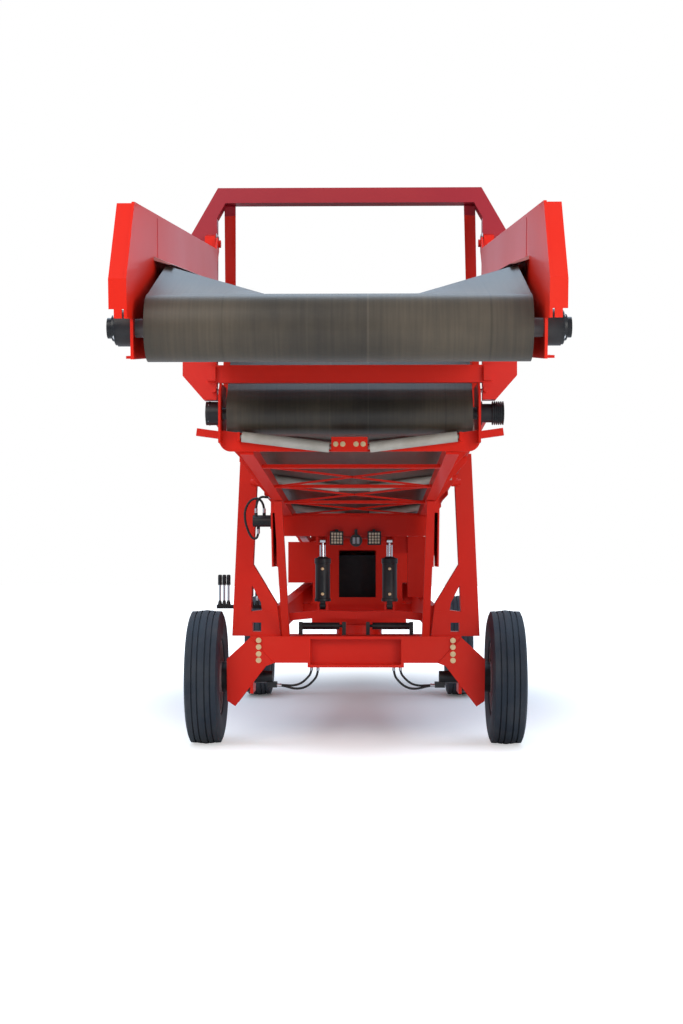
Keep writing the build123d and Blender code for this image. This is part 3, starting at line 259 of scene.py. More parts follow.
def fold_light_group():
    """Thin lines of painted shade and painted highlight along the belt's creases and folds, as a tone to
    multiply its colour by.
    """
    tree = bpy.data.node_groups.new("Fold Light And Shade", "ShaderNodeTree")
    add_socket(tree, "Tone", "OUTPUT", "NodeSocketColor")
    nodes, links = tree.nodes, tree.links
    leave = nodes.new("NodeGroupOutput")
    where = nodes.new("ShaderNodeTexCoord")
    apart = nodes.new("ShaderNodeSeparateXYZ")
    across = nodes.new("ShaderNodeMapRange")
    across.inputs["From Min"].default_value = -RAMP_HALF
    across.inputs["From Max"].default_value = RAMP_HALF
    lines = nodes.new("ShaderNodeValToRGB")
    ramp = lines.color_ramp
    ramp.elements[0].color = (1, 1, 1, 1)
    ramp.elements[1].color = (1, 1, 1, 1)
    for place, tone in FOLD_LIGHT_LINES:
        for offset, value in ((-FOLD_LIGHT_LINE_HALF, 1.0), (0.0, tone), (FOLD_LIGHT_LINE_HALF, 1.0)):
            stop = ramp.elements.new((place + offset + RAMP_HALF) / (2 * RAMP_HALF))
            stop.color = (value, value, value, 1)
    links.new(where.outputs["Object"], apart.inputs["Vector"])
    links.new(apart.outputs["X"], across.inputs["Value"])
    links.new(across.outputs["Result"], lines.inputs["Fac"])
    links.new(lines.outputs["Color"], leave.inputs["Tone"])
    return tree


# Painted shade: the portal's deeper red fades in between two heights, on the ring in front of its struts
PORTAL_SHADE_Z = (2.5, 2.9)
STRUT_START_Y = -4.09


def portal_shade_material(colours):
    """The portal's paint, with painted shade that deepens the red on the ring's top; bright on its low beam
    and on the struts behind it.
    """
    material = weathered("portal_shade_paint", colours.portal_shade_paint, PAINT_DUST, *PAINT_WEAR, coat=0.1)
    nodes, links = material.node_tree.nodes, material.node_tree.links
    shader = nodes["Principled BSDF"]
    wear = next(node for node in nodes if node.type == "GROUP")
    where = nodes.new("ShaderNodeTexCoord")
    apart = nodes.new("ShaderNodeSeparateXYZ")
    height = nodes.new("ShaderNodeMapRange")
    height.inputs["From Min"].default_value = PORTAL_SHADE_Z[0]
    height.inputs["From Max"].default_value = PORTAL_SHADE_Z[1]
    mixed = nodes.new("ShaderNodeMix")
    mixed.data_type = "RGBA"
    mixed.inputs["A"].default_value = (*colours.paint, 1)
    links.new(where.outputs["Object"], apart.inputs["Vector"])
    links.new(apart.outputs["Z"], height.inputs["Value"])
    front = nodes.new("ShaderNodeMath")
    front.operation = "LESS_THAN"
    front.inputs[1].default_value = STRUT_START_Y
    both = nodes.new("ShaderNodeMath")
    both.operation = "MULTIPLY"
    links.new(apart.outputs["Y"], front.inputs[0])
    links.new(front.outputs["Value"], both.inputs[0])
    links.new(height.outputs["Result"], both.inputs[1])
    links.new(both.outputs["Value"], mixed.inputs["Factor"])
    links.new(wear.outputs["Color"], mixed.inputs["B"])
    links.new(mixed.outputs["Result"], shader.inputs["Base Color"])
    return material


class StackerColours(bpy.types.PropertyGroup):
    """Colours and finishes that a user would change."""

    paint: bpy.props.FloatVectorProperty(
        name="Paint", description="The machine's main paint", subtype="COLOR", size=3,
        default=(0.74, 0.014, 0.003),
    )
    # The portal ring's painted shade: a deeper red painted on its top in place of the shade there
    portal_shade_paint: bpy.props.FloatVectorProperty(
        name="Portal painted shade", description="The portal ring's deeper paint", subtype="COLOR", size=3,
        default=(0.36, 0.010, 0.022),
    )
    tyre: bpy.props.FloatVectorProperty(
        name="Tyre", description="Tyre rubber", subtype="COLOR", size=3, default=(0.020, 0.028, 0.040)
    )


class StackerSizes(bpy.types.PropertyGroup):
    """Sizes that a user would change."""

    groove_depth: bpy.props.FloatProperty(
        name="Groove depth", description="Depth of the tread grooves", subtype="DISTANCE",
        unit="LENGTH", default=0.013,
    )
    groove_width: bpy.props.FloatProperty(
        name="Groove width", description="Width of the tread grooves", subtype="DISTANCE",
        unit="LENGTH", default=0.011,
    )
    lamp_cells: bpy.props.IntProperty(
        name="Lamp rows", description="Rows of cells in a work lamp", default=4, min=1
    )


# Finishes: base, dust, dust amount, patch scale, grain scale, roughness range and bump
BLACK_PAINT = (0.012, 0.012, 0.014)
BLACK_RUBBER = (0.012, 0.012, 0.013)
PAINT_DUST = (0.66, 0.06, 0.03)
PAINT_WEAR = (0.2, 1.3, 900, (0.34, 0.5), 0.03)
BELT_FINISH = ((0.030, 0.025, 0.020), (0.098, 0.076, 0.052), 0.9, 1.6, 260, (0.28, 0.46), 0.3)
TYRE_FINISH = ((0.10, 0.095, 0.09), 0.35, 5, 180, (0.5, 0.75), 0.3)

# Name in this script, name of the material, its finish as above, then how metallic it is and its clear coat
PLAIN_FINISHES = (
    ("black", "black_paint", BLACK_PAINT, (0.09, 0.08, 0.075), 0.35, 6, 300, (0.25, 0.5), 0.1, 0, 0),
    ("rim", "rim_grey", (0.42, 0.30, 0.30), (0.25, 0.18, 0.16), 0.5, 7, 200, (0.3, 0.55), 0.1, 0.3, 0),
    ("roller", "dusty_roller", (0.50, 0.46, 0.40), (0.32, 0.27, 0.21), 0.7, 9, 160, (0.4, 0.65), 0.2, 0.2, 0),
    ("drum", "drum_steel", (0.10, 0.10, 0.10), (0.25, 0.22, 0.2), 0.5, 6, 120, (0.35, 0.6), 0.2, 0.6, 0),
    ("chrome", "chrome_rod", (0.72, 0.73, 0.75), (0.5, 0.5, 0.5), 0.1, 8, 400, (0.06, 0.15), 0.02, 1, 0),
    ("zinc", "gold_zinc", (0.85, 0.62, 0.34), (0.5, 0.4, 0.26), 0.3, 30, 500, (0.25, 0.45), 0.1, 0.5, 0),
    ("steel", "bright_zinc", (0.62, 0.63, 0.66), (0.4, 0.4, 0.4), 0.3, 30, 500, (0.2, 0.4), 0.1, 0.9, 0),
    ("hose", "hose_rubber", BLACK_RUBBER, (0.06, 0.06, 0.06), 0.3, 12, 400, (0.35, 0.55), 0.15, 0, 0),
    ("lens", "lamp_lens", (0.62, 0.55, 0.38), (0.75, 0.70, 0.55), 0.5, 40, 300, (0.12, 0.25), 0.05, 0, 0.8),
    ("skirt", "skirt_rubber", (0.62, 0.30, 0.29), (0.30, 0.12, 0.11), 0.8, 14, 220, (0.5, 0.7), 0.4, 0, 0),
    ("dome", "round_lens", (0.30, 0.32, 0.34), (0.5, 0.5, 0.5), 0.3, 30, 300, (0.08, 0.2), 0.05, 0, 0.8),
)
FINISH_BY_SLOT = {
    "red_paint": "paint",
    "dark_red_paint": "portal",
    "black_paint": "black",
    "tyre_rubber": "tyre",
    "rim_grey": "rim",
    "belt_rubber": "belt",
    "roller_steel": "roller",
    "chrome_rod": "chrome",
    "lamp_glass": "black",
    "hose_rubber": "hose",
    "drum_steel": "drum",
    "skirt_rubber": "skirt",
}
MATERIALS = {}


class STACKER_OT_materials(bpy.types.Operator):
    """Make the finishes and put them on the frame's pieces"""

    bl_idname = "stacker.materials"
    bl_label = "Paint and rubber"

    def execute(self, context):
        colours = context.scene.stacker_colours
        paint = weathered("red_paint", colours.paint, PAINT_DUST, *PAINT_WEAR, coat=0.05, gloss=0.2)
        MATERIALS["paint"] = paint
        MATERIALS["portal"] = portal_shade_material(colours)
        MATERIALS["tyre"] = weathered("tyre_rubber", colours.tyre, *TYRE_FINISH)
        MATERIALS["belt"] = belt_material()
        for key, *finish in PLAIN_FINISHES:
            MATERIALS[key] = weathered(*finish)
        for part in frame["record"]["subparts"]:
            dress(part["node"], MATERIALS[FINISH_BY_SLOT[part["material_slot"]]])
        return {"FINISHED"}


class STACKER_OT_stage(bpy.types.Operator):
    """Make the camera, the pale floor, the lamps and the world"""

    bl_idname = "stacker.stage"
    bl_label = "Studio"

    def execute(self, context):
        lens = bpy.data.cameras.new("photo_camera")
        lens.sensor_fit = "VERTICAL"
        lens.sensor_height = FRAME_LONG_SIDE_MM
        lens.lens = LENS_MM
        lens.clip_end = 300
        camera = bpy.data.objects.new("photo_camera", lens)
        camera.location = CAMERA_PLACE
        camera.rotation_euler = (radians(90 + CAMERA_TILT), 0, radians(CAMERA_TURN))
        context.scene.collection.objects.link(camera)
        context.scene.camera = camera
        context.scene.view_settings.view_transform = "Standard"

        ground = bmesh.new()
        bmesh.ops.create_grid(ground, x_segments=1, y_segments=1, size=FLOOR_HALF)
        mesh = bpy.data.meshes.new("studio_floor")
        ground.to_mesh(mesh)
        ground.free()
        floor = bpy.data.objects.new("studio_floor", mesh)
        context.scene.collection.objects.link(floor)
        pale = bpy.data.materials.new("studio_floor")
        pale.use_nodes = True
        nodes, links = pale.node_tree.nodes, pale.node_tree.links
        shader = nodes["Principled BSDF"]
        shader.inputs["Base Color"].default_value = (0.86, 0.86, 0.86, 1)
        shader.inputs["Roughness"].default_value = 1.0
        shader.inputs["Specular IOR Level"].default_value = 0.0
        # Painted light: the floor glows white for the camera, less in an oval under the machine, which
        # darkens it there as painted shade
        ray = nodes.new("ShaderNodeLightPath")
        where = nodes.new("ShaderNodeTexCoord")
        shift = nodes.new("ShaderNodeMapping")
        shift.inputs["Location"].default_value = (0, -SHADOW_SQUASH * SHADOW_MIDDLE_Y, 0)
        shift.inputs["Scale"].default_value = (1, SHADOW_SQUASH, 1)
        links.new(where.outputs["Object"], shift.inputs["Vector"])
        reach = nodes.new("ShaderNodeVectorMath")
        reach.operation = "LENGTH"
        links.new(shift.outputs["Vector"], reach.inputs[0])
        fade = nodes.new("ShaderNodeMapRange")
        fade.interpolation_type = "SMOOTHSTEP"
        fade.inputs["From Min"].default_value = SHADOW_START
        fade.inputs["From Max"].default_value = SHADOW_END
        fade.inputs["To Min"].default_value = SHADOW_GLOW
        fade.inputs["To Max"].default_value = 1.0
        links.new(reach.outputs["Value"], fade.inputs["Value"])
        glow = nodes.new("ShaderNodeMath")
        glow.operation = "MULTIPLY"
        links.new(fade.outputs["Result"], glow.inputs[1])
        links.new(ray.outputs["Is Camera Ray"], glow.inputs[0])
        shader.inputs["Emission Color"].default_value = (1, 1, 1, 1)
        links.new(glow.outputs["Value"], shader.inputs["Emission Strength"])
        mesh.materials.append(pale)

        world = bpy.data.worlds.new("studio")
        context.scene.world = world
        world.use_nodes = True
        nodes, links = world.node_tree.nodes, world.node_tree.links
        back = nodes["Background"]
        back.inputs["Color"].default_value = (0.74, 0.86, 1.0, 1)
        back.inputs["Strength"].default_value = 0.62
        white = nodes.new("ShaderNodeBackground")
        white.inputs["Color"].default_value = (1, 1, 1, 1)
        white.inputs["Strength"].default_value = 1.0
        choose = nodes.new("ShaderNodeMixShader")
        ray = nodes.new("ShaderNodeLightPath")
        links.new(ray.outputs["Is Camera Ray"], choose.inputs["Fac"])
        links.new(back.outputs["Background"], choose.inputs[1])
        links.new(white.outputs["Background"], choose.inputs[2])
        links.new(choose.outputs["Shader"], nodes["World Output"].inputs["Surface"])

        for name, place, aim, power, size, colour in STUDIO_LAMPS:
            light = bpy.data.lights.new(name, "AREA")
            light.energy = power
            light.size = size
            light.color = colour
            lamp = bpy.data.objects.new(name, light)
            lamp.location = place
            lamp.rotation_euler = (Vector(aim) - Vector(place)).to_track_quat("-Z", "Y").to_euler()
            context.scene.collection.objects.link(lamp)
        return {"FINISHED"}


# Tyres: the tread's width and the bead's radius as shares of the tyre's, the grooves' places across the
# tread, and the steps round the tyre
TREAD_SHARE = 0.84
BEAD_SHARE = 0.556
GROOVE_SHARES = (0.80, 0.32)
TYRE_STEPS = 120


def tyre_outline(width, sizes):
    """Half the tyre's section as (across, radius) points, from bead over sidewall to the tread's middle."""
    half = width / 2
    tread = half * TREAD_SHARE
    bead = TYRE_RADIUS * BEAD_SHARE
    points = [
        (half * 0.74, bead),
        (half * 0.86, bead + 0.012),
        (half * 0.93, bead + 0.045),
        (half * 0.995, bead + 0.10),
        (half * 1.0, bead + 0.125),
        (half * 0.985, bead + 0.165),
        (half * 0.93, TYRE_RADIUS - 0.038),
        (half * 0.90, TYRE_RADIUS - 0.030),
        (tread, TYRE_RADIUS - 0.010),
    ]
    for share in GROOVE_SHARES:
        middle = tread * share * 0.78
        crown = TYRE_RADIUS - 0.010 * share
        wide = sizes.groove_width / 2
        points += [
            (middle + wide, crown),
            (middle + wide - 0.001, crown - sizes.groove_depth),
            (middle - wide + 0.001, crown - sizes.groove_depth),
            (middle - wide, crown),
        ]
    points.append((0.0, TYRE_RADIUS))
    return points


class STACKER_OT_tyres(bpy.types.Operator):
    """Make the four tyres with their ribbed road tread"""

    bl_idname = "stacker.tyres"
    bl_label = "Tyres"

    def execute(self, context):
        sizes = context.scene.stacker_sizes
        for place in ("front_left", "front_right", "rear_left", "rear_right"):
            node = "tyre_" + place
            low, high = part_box(node)
            centre = [(a + b) / 2 for a, b in zip(low, high)]
            shape = bmesh.new()
            half = tyre_outline(high[0] - low[0], sizes)
            section = half + [(-across, radius) for across, radius in reversed(half[:-1])]
            verts = [shape.verts.new((across, 0, radius)) for across, radius in section]
            verts.append(shape.verts.new((-half[0][0] * 0.9, 0, half[0][1] - 0.004)))
            verts.append(shape.verts.new((half[0][0] * 0.9, 0, half[0][1] - 0.004)))
            edges = [shape.edges.new((a, b)) for a, b in zip(verts, verts[1:] + verts[:1])]
            bmesh.ops.spin(
                shape, geom=verts + edges, cent=(0, 0, 0), axis=(1, 0, 0), dvec=(0, 0, 0), angle=2 * pi,
                steps=TYRE_STEPS, use_merge=True,
            )
            bmesh.ops.remove_doubles(shape, verts=shape.verts, dist=0.0002)
            bmesh.ops.recalc_face_normals(shape, faces=shape.faces)
            bmesh.ops.translate(shape, verts=shape.verts, vec=centre)
            piece = finish_mesh("tread_" + place, shape, MATERIALS["tyre"], "wheel_" + place)
            piece.data.set_sharp_from_angle(angle=radians(35))
            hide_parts(node)
        return {"FINISHED"}


KNUCKLE_BOLT_X = 0.756
KNUCKLE_BOLT_Z = (0.820, 0.768, 0.714, 0.665)

# Fastener sets: name, body, finish, washer radius, and (centre, direction that the head faces) of each
FASTENER_SETS = (
    ("knuckle_bolts", "chassis", "zinc", 0.0215, [
        ((side * KNUCKLE_BOLT_X, AXLE_FRONT_Y, z), (0, -1, 0)) for side in SIDES for z in KNUCKLE_BOLT_Z
    ]),
    ("hinge_bolts", "boom", "steel", 0.018, [
        ((side * 0.700, y, z), (-side, 0, 0))
        for side in SIDES for y in (-4.225, -4.262) for z in (3.165, 3.095)
    ]),
    ("portal_guide_bolts", "boom", "steel", 0.019, [
        ((side * 0.706, -4.150, z), (-side, 0, 0)) for side in SIDES for z in (2.362, 2.440)
    ]),
    ("snub_bracket_bolts", "boom", "zinc", 0.014, [
        ((side * x, -4.249, 2.072), (0, -1, 0)) for side in SIDES for x in (0.035, 0.072)
    ]),
)


def add_turned(shape, profile, place, facing, steps=32):
    """Spins (along, radius) points round the line through place that runs along facing."""
    turn = Vector((0, 0, 1)).rotation_difference(Vector(facing)).to_matrix().to_4x4()
    spot = Matrix.Translation(Vector(place)) @ turn
    verts = [shape.verts.new(spot @ Vector((radius, 0, along))) for along, radius in profile]
    edges = [shape.edges.new(pair) for pair in zip(verts, verts[1:])]
    axis = spot.to_3x3() @ Vector((0, 0, 1))
    bmesh.ops.spin(
        shape, geom=verts + edges, cent=Vector(place), axis=axis, dvec=(0, 0, 0), angle=2 * pi, steps=steps,
        use_merge=True,
    )


def close_turned(shape):
    """Merges a turned shape's poles and points its faces outwards."""
    bmesh.ops.remove_doubles(shape, verts=shape.verts, dist=0.00005)
    bmesh.ops.recalc_face_normals(shape, faces=shape.faces)


def bearing_profile(radius, deep):
    """A flanged bearing housing with a stepped cover and a domed end cap."""
    return (
        (0.0, 0.0001),
        (0.0, radius),
        (deep * 0.25, radius),
        (deep * 0.32, radius * 0.94),
        (deep * 0.34, radius * 0.80),
        (deep * 0.62, radius * 0.76),
        (deep * 0.68, radius * 0.70),
        (deep * 0.70, radius * 0.58),
        (deep * 0.92, radius * 0.55),
        (deep, radius * 0.45),
        (deep, 0.0001),
    )


# Bearing covers: name, body, distance out, place along and up, radius, depth and the sides that have one
DRIVE_Y = -4.12
DRIVE_Z = 2.245
BEARING_COVERS = (
    ("head_bearing_covers", "jib", 0.7505, HEAD_Y, HEAD_Z, 0.058, 0.030, SIDES),
    ("drive_bearing_cover", "boom", 0.7440, DRIVE_Y, DRIVE_Z, 0.0645, 0.026, (-1,)),
)


class STACKER_OT_bearings(bpy.types.Operator):
    """Make the bearing covers with their ring of screws"""

    bl_idname = "stacker.bearings"
    bl_label = "Bearing covers"

    def execute(self, context):
        for name, body, out, y, z, radius, deep, sides in BEARING_COVERS:
            shape = bmesh.new()
            for side in sides:
                add_turned(shape, bearing_profile(radius, deep), (side * out, y, z), (side, 0, 0), 48)
            close_turned(shape)
            piece = finish_mesh(name, shape, MATERIALS["black"], body)
            piece.data.set_sharp_from_angle(angle=radians(30))
            screws = bmesh.new()
            for side in sides:
                for quarter in range(4):
                    turn = pi / 4 + quarter * pi / 2
                    ring = radius * 0.86
                    place = (side * (out + deep * 0.25), y + ring * cos(turn), z + ring * sin(turn))
                    add_bolt(screws, place, (side, 0, 0), 0.009)
            piece = finish_mesh(name + "_screws", screws, MATERIALS["steel"], body, smooth=False)
        return {"FINISHED"}


# Work lamps: the middles of the two square ones, their lower edge, their side and what frames the cells
LAMP_PLACES = (-0.155, 0.146)
LAMP_LOW = 1.567
LAMP_SIDE = 0.105
LAMP_EDGE = 0.006
ROUND_LENS_X = 0.016
ROUND_LENS_HALF = 0.012
ROUND_LENS_Z = (1.574, 1.626)


def add_block(shape, low, high, bevel):
    """A bevelled block between two corners, added to a bmesh."""
    middle = [(a + b) / 2 for a, b in zip(low, high)]
    size = [b - a for a, b in zip(low, high)]
    spread = Matrix.Translation(middle) @ Matrix.Diagonal((*size, 1))
    made = bmesh.ops.create_cube(shape, size=1.0, matrix=spread)
    edges = list({edge for vert in made["verts"] for edge in vert.link_edges})
    bmesh.ops.bevel(
        shape, geom=edges, offset=bevel, offset_type="OFFSET", affect="EDGES", segments=2, profile=0.5,
        material=-1,
    )


class STACKER_OT_lamps(bpy.types.Operator):
    """Make the work lamps' lens cells, their frames and the round lenses"""

    bl_idname = "stacker.lamps"
    bl_label = "Work lamps"

    def execute(self, context):
        rows = context.scene.stacker_sizes.lamp_cells
        cells = bmesh.new()
        rims = bmesh.new()
        pitch = (LAMP_SIDE - 2 * LAMP_EDGE) / rows
        half = LAMP_SIDE / 2
        near, far = LAMP_FRONT_Y - LAMP_EDGE, LAMP_FRONT_Y + 0.02
        for middle in LAMP_PLACES:
            for row in range(rows):
                for column in range(rows):
                    x = middle - half + LAMP_EDGE + column * pitch
                    z = LAMP_LOW + LAMP_EDGE + row * pitch
                    low = (x + 0.003, LAMP_FRONT_Y - 0.005, z + 0.003)
                    high = (x + pitch - 0.003, LAMP_FRONT_Y + 0.002, z + pitch - 0.003)
                    add_block(cells, low, high, 0.002)
            for side in SIDES:
                edge = middle + side * (half - 0.002)
                low = (edge - 0.004, near, LAMP_LOW - 0.002)
                add_block(rims, low, (edge + 0.004, far, LAMP_LOW + LAMP_SIDE + 0.002), 0.001)
            for level in (LAMP_LOW + 0.001, LAMP_LOW + LAMP_SIDE - 0.001):
                low = (middle - half, near, level - 0.004)
                add_block(rims, low, (middle + half, far, level + 0.004), 0.001)
        piece = finish_mesh("lamp_cells", cells, MATERIALS["lens"], "boom", smooth=False)
        piece = finish_mesh("lamp_rims", rims, MATERIALS["black"], "boom", smooth=False)
        round_lens = bmesh.new()
        for side in SIDES:
            low = (side * ROUND_LENS_X - ROUND_LENS_HALF, LAMP_FRONT_Y - 0.004, ROUND_LENS_Z[0])
            high = (side * ROUND_LENS_X + ROUND_LENS_HALF, LAMP_FRONT_Y + 0.002, ROUND_LENS_Z[1])
            add_block(round_lens, low, high, 0.004)
        piece = finish_mesh("round_lamp_lenses", round_lens, MATERIALS["dome"], "boom", smooth=False)
        return {"FINISHED"}


# Lift cylinders: place, the barrel's ends, and the radii of barrel and rod
LIFT_X = 0.27
LIFT_Y = 0.30
BARREL_TOP = 1.458
BARREL_LOW = 1.110
BARREL_RADIUS = 0.060
ROD_RADIUS = 0.025


class STACKER_OT_cylinders(bpy.types.Operator):
    """Make the lift cylinders' gland rings, base caps and port fittings"""

    bl_idname = "stacker.cylinders"
    bl_label = "Lift cylinders"

    def execute(self, context):
        glands = bmesh.new()
        ports = bmesh.new()
        proud = BARREL_RADIUS + 0.006
        seat = BARREL_RADIUS + 0.0002
        gland = (
            (-0.045, seat),
            (-0.042, proud),
            (-0.004, proud),
            (0.0, proud - 0.004),
            (0.004, BARREL_RADIUS * 0.72),
            (0.012, BARREL_RADIUS * 0.66),
            (0.014, ROD_RADIUS + 0.0015),
        )
        inner = BARREL_RADIUS * 0.6
        base = ((0.0, inner), (0.0, proud - 0.003), (0.003, proud), (0.024, proud), (0.028, seat))
        port = ((0.0, 0.013), (0.012, 0.013), (0.014, 0.010), (0.024, 0.010), (0.026, 0.0001))
        for side in SIDES:
            add_turned(glands, gland, (side * LIFT_X, LIFT_Y, BARREL_TOP), (0, 0, 1), 48)
            add_turned(glands, base, (side * LIFT_X, LIFT_Y, BARREL_LOW), (0, 0, 1), 48)
            for level in (BARREL_TOP - 0.085, BARREL_LOW + 0.06):
                place = (side * LIFT_X, LIFT_Y - BARREL_RADIUS + 0.003, level)
                add_turned(ports, port, place, (0, -1, 0), 16)
        close_turned(glands)
        close_turned(ports)
        piece = finish_mesh("cylinder_glands", glands, MATERIALS["black"], "lift_barrels")
        piece.data.set_sharp_from_angle(angle=radians(30))
        piece = finish_mesh("cylinder_ports", ports, MATERIALS["zinc"], "lift_barrels")
        piece.data.set_sharp_from_angle(angle=radians(30))
        return {"FINISHED"}


# Control levers: the row's place, foot and tops, and each lever's place across, with sections as
# (along, radius) points
LEVER_Y = 0.50
LEVER_LOW = 1.075
LEVER_TOP = 1.320
SHORT_LEVER_TOP = 1.230
LEVER_PLACES = (-1.120, -1.085, -1.050, -0.860, -0.815)
STEM_RADIUS = 0.0096
LEVER_BOOT = (
    (0.0, 0.019), (0.006, 0.019), (0.012, 0.015), (0.018, 0.017),
    (0.024, 0.0125), (0.030, 0.014), (0.036, 0.0095),
)
LEVER_GRIP = (
    (-0.002, 0.0100), (-0.002, 0.0155), (0.004, 0.0170), (0.028, 0.0163),
    (0.056, 0.0168), (0.074, 0.0160), (0.081, 0.0120), (0.083, 0.0001),
)


class STACKER_OT_levers(bpy.types.Operator):
    """Make the control levers' chrome stems, rubber boots and grips"""

    bl_idname = "stacker.levers"
    bl_label = "Control levers"

    def execute(self, context):
        stems = bmesh.new()
        grips = bmesh.new()
        for x in LEVER_PLACES:
            top = LEVER_TOP if x < -1.0 else SHORT_LEVER_TOP
            grip_low = top - 0.08
            stem = ((0.0, STEM_RADIUS), (grip_low - LEVER_LOW, STEM_RADIUS))
            add_turned(stems, stem, (x, LEVER_Y, LEVER_LOW), (0, 0, 1), 20)
            add_turned(grips, LEVER_BOOT, (x, LEVER_Y, LEVER_LOW), (0, 0, 1), 24)
            add_turned(grips, LEVER_GRIP, (x, LEVER_Y, grip_low), (0, 0, 1), 24)
        close_turned(stems)
        close_turned(grips)
        piece = finish_mesh("lever_stems", stems, MATERIALS["chrome"], "chassis")
        piece = finish_mesh("lever_grips", grips, MATERIALS["black"], "chassis")
        return {"FINISHED"}


# Wheel hoses: name, place along the machine, and (out, up) points from the motor's port to the beam's lip
HOSE_DIAMETER = 0.018
PORT_END = (0.6197, 0.458)
LIP_Z = 0.6077
WHEEL_HOSES = (
    ("outer", -0.022, (
        PORT_END, (0.575, 0.458), (0.480, 0.430), (0.400, 0.440), (0.338, 0.488), (0.298, 0.546),
        (0.298, LIP_Z),
    )),
    ("inner", 0.022, (
        PORT_END, (0.585, 0.458), (0.500, 0.452), (0.436, 0.468), (0.386, 0.510), (0.350, 0.556),
        (0.350, LIP_Z),
    )),
)

# Side hoses: CAD node and the points of its route
SIDE_HOSES = (
    ("side_hose_arch", (
        (-0.760, -0.420, 1.8073),
        (-0.760, -0.420, 1.880),
        (-0.725, -0.421, 1.932),
        (-0.676, -0.422, 1.925),
        (-0.6303, -0.422, 1.925),
    )),
    ("side_hose_loop", (
        (-0.700, -0.380, 1.8073),
        (-0.700, -0.380, 1.868),
        (-0.744, -0.376, 1.926),
        (-0.806, -0.374, 1.908),
        (-0.848, -0.374, 1.838),
        (-0.850, -0.374, 1.752),
        (-0.818, -0.377, 1.650),
        (-0.782, -0.379, 1.604),
        (-0.745, -0.380, 1.622),
        (-0.745, -0.380, 1.6827),
    )),
)

# The crimped end of a hose, as (along, radius) points
FERRULE = (
    (0.0, 0.0095), (0.0, 0.0125), (0.008, 0.0125), (0.009, 0.0112), (0.013, 0.0112),
    (0.014, 0.0124), (0.030, 0.0124), (0.031, 0.0112), (0.034, 0.0112), (0.035, 0.0094),
)


def hose_curve(node, route, body):
    """One hose on a smooth line through its route's points, which carry its radius, for its CAD node."""
    data = bpy.data.curves.new("line_" + node, "CURVE")
    data.dimensions = "3D"
    data.bevel_depth = 1
    data.bevel_resolution = 5
    data.use_fill_caps = True
    data.resolution_u = 12
    spline = data.splines.new("NURBS")
    spline.points.add(len(route) - 1)
    for point, place in zip(spline.points, route):
        point.co = (*place, 1)
        point.radius = HOSE_DIAMETER / 2
    spline.order_u = 3
    spline.use_endpoint_u = True
    piece = bpy.data.objects.new("flex_" + node, data)
    data.materials.append(MATERIALS["hose"])
    bpy.context.scene.collection.objects.link(piece)
    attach(piece, body)
    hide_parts(node)
    return piece


def hose_length(piece):
    """The length of a hose's own smooth line, from its curve without its round section."""
    data = piece.data
    deep = data.bevel_depth
    data.bevel_depth = 0
    line = bpy.data.meshes.new_from_object(piece)
    data.bevel_depth = deep
    places = [vert.co.copy() for vert in line.vertices]
    bpy.data.meshes.remove(line)
    return sum((b - a).length for a, b in zip(places, places[1:]))


class STACKER_OT_hoses(bpy.types.Operator):
    """Make the hydraulic hoses with their crimped ends"""

    bl_idname = "stacker.hoses"
    bl_label = "Hoses"

    def execute(self, context):
        routes = []
        for side_name, side in (("left", -1), ("right", 1)):
            for place, lane, points in WHEEL_HOSES:
                route = [(side * x, lane, z) for x, z in points]
                routes.append((f"wheel_hose_{side_name}_{place}", "chassis", route))
        for node, points in SIDE_HOSES:
            routes.append((node, "boom", list(points)))
        ends = {"chassis": bmesh.new(), "boom": bmesh.new()}
        for node, body, route in routes:
            piece = hose_curve(node, route, body)
            hose_length(piece)
            for tip, beyond in ((route[0], route[1]), (route[-1], route[-2])):
                add_turned(ends[body], FERRULE, tip, Vector(beyond) - Vector(tip), 20)
        for body, shape in ends.items():
            close_turned(shape)
            piece = finish_mesh("hose_ends_" + body, shape, MATERIALS["steel"], body)
            piece.data.set_sharp_from_angle(angle=radians(30))
        return {"FINISHED"}


# The jib's origin and slope, and the raised strips on its wing plates: where, how wide and how high
JIB_FOOT = Vector((0, -7.23, 2.264))
JIB_SLOPE = radians(7.5)
WING_FACE = 0.69
SEAM_ALONG = 0.60
SEAM_WIDTH = 0.012
SEAM_LOW = 0.13
SEAM_TOP = 0.415


def on_jib(x, along, up):
    """A point in the jib's own directions, along towards the portal and up from its belt line."""
    slope_cos, slope_sin = cos(JIB_SLOPE), sin(JIB_SLOPE)
    return JIB_FOOT + Vector((x, along * slope_cos - up * slope_sin, along * slope_sin + up * slope_cos))


class STACKER_OT_wing_seams(bpy.types.Operator):
    """Make thin raised strips on the jib's wing plates, in the portal's paint with its painted shade"""

    bl_idname = "stacker.wing_seams"
    bl_label = "Wing seams"

    def execute(self, context):
        shape = bmesh.new()
        for side in SIDES:
            x = side * (WING_FACE - 0.0015)
            near, far = SEAM_ALONG - SEAM_WIDTH / 2, SEAM_ALONG + SEAM_WIDTH / 2
            corners = ((near, SEAM_LOW), (far, SEAM_LOW), (far, SEAM_TOP), (near, SEAM_TOP))
            front = shape.faces.new([shape.verts.new(on_jib(x, along, up)) for along, up in corners])
            made = bmesh.ops.extrude_face_region(shape, geom=[front])
            moved = [item for item in made["geom"] if isinstance(item, bmesh.types.BMVert)]
            bmesh.ops.translate(shape, verts=moved, vec=(side * 0.002, 0, 0))
        bmesh.ops.recalc_face_normals(shape, faces=shape.faces)
        # The strips take the portal's paint, whose painted shade deepens the red of their upper part
        piece = finish_mesh("wing_seams", shape, MATERIALS["portal"], "jib", smooth=False)
        return {"FINISHED"}


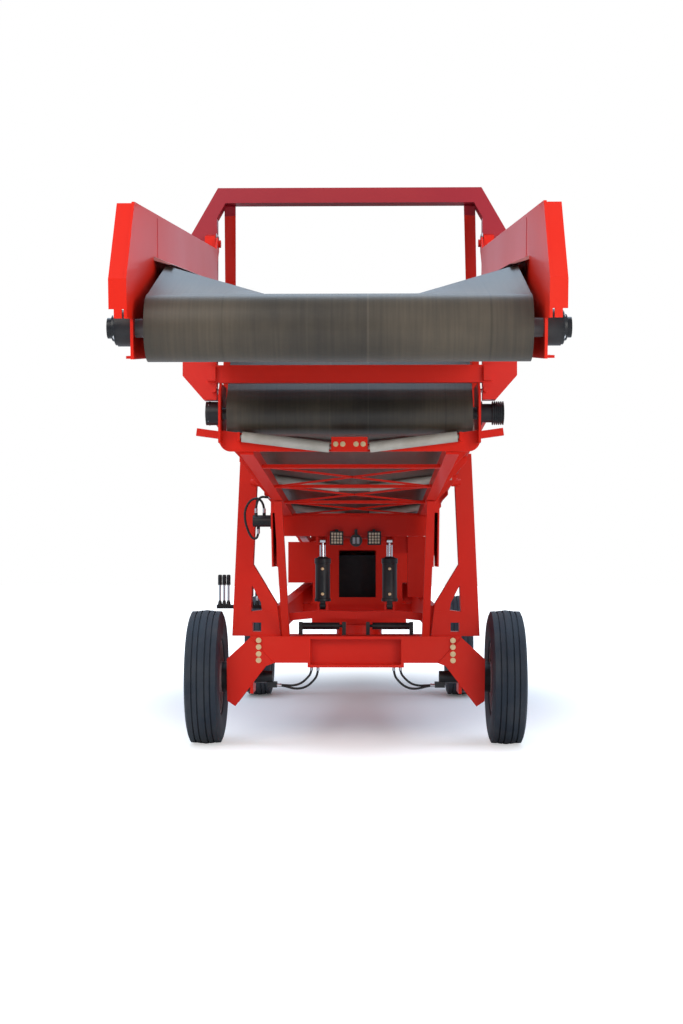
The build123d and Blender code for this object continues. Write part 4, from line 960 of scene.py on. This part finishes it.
def add_bolt(shape, place, facing, washer):
    """A washer with a hexagon head on it, added to a bmesh."""
    turn = Vector((0, 0, 1)).rotation_difference(Vector(facing)).to_matrix().to_4x4()
    spot = Matrix.Translation(Vector(place)) @ turn
    washer_thick = washer * 0.16
    head = washer * 0.62
    bmesh.ops.create_cone(
        shape, cap_ends=True, segments=32, radius1=washer, radius2=washer * 0.97, depth=washer_thick,
        matrix=spot @ Matrix.Translation((0, 0, washer_thick / 2)),
    )
    bmesh.ops.create_cone(
        shape, cap_ends=True, segments=6, radius1=head, radius2=head * 0.93, depth=head * 0.62,
        matrix=spot @ Matrix.Translation((0, 0, washer_thick + head * 0.31)),
    )


class STACKER_OT_fasteners(bpy.types.Operator):
    """Make the bolts and washers that show"""

    bl_idname = "stacker.fasteners"
    bl_label = "Fasteners"

    def execute(self, context):
        for name, body, finish, washer, places in FASTENER_SETS:
            shape = bmesh.new()
            for place, facing in places:
                add_bolt(shape, place, facing, washer)
            piece = finish_mesh(name, shape, MATERIALS[finish], body, smooth=False)
        return {"FINISHED"}


class STACKER_PT_panel(bpy.types.Panel):
    """The machine's finishing steps"""

    bl_label = "Stacker conveyor"
    bl_idname = "STACKER_PT_panel"
    bl_space_type = "VIEW_3D"
    bl_region_type = "UI"
    bl_category = "Stacker"

    def draw(self, context):
        for step in STEPS:
            self.layout.operator(step.bl_idname)


STEPS = (
    STACKER_OT_stage,
    STACKER_OT_materials,
    STACKER_OT_hoses,
    STACKER_OT_tyres,
    STACKER_OT_fasteners,
    STACKER_OT_bearings,
    STACKER_OT_lamps,
    STACKER_OT_cylinders,
    STACKER_OT_levers,
    STACKER_OT_wing_seams,
)
CLASSES = (StackerColours, StackerSizes) + STEPS + (STACKER_PT_panel,)


def register():
    for cls in CLASSES:
        bpy.utils.register_class(cls)
    bpy.types.Scene.stacker_colours = bpy.props.PointerProperty(type=StackerColours)
    bpy.types.Scene.stacker_sizes = bpy.props.PointerProperty(type=StackerSizes)


def unregister():
    del bpy.types.Scene.stacker_colours
    del bpy.types.Scene.stacker_sizes
    for cls in reversed(CLASSES):
        bpy.utils.unregister_class(cls)


def main():
    """Register the steps and run them in order."""
    register()
    bpy.ops.stacker.stage()
    bpy.ops.stacker.materials()
    bpy.ops.stacker.hoses()
    bpy.ops.stacker.tyres()
    bpy.ops.stacker.fasteners()
    bpy.ops.stacker.bearings()
    bpy.ops.stacker.lamps()
    bpy.ops.stacker.cylinders()
    bpy.ops.stacker.levers()
    bpy.ops.stacker.wing_seams()
    bpy.context.view_layer.update()


if __name__ == "__main__":
    main()
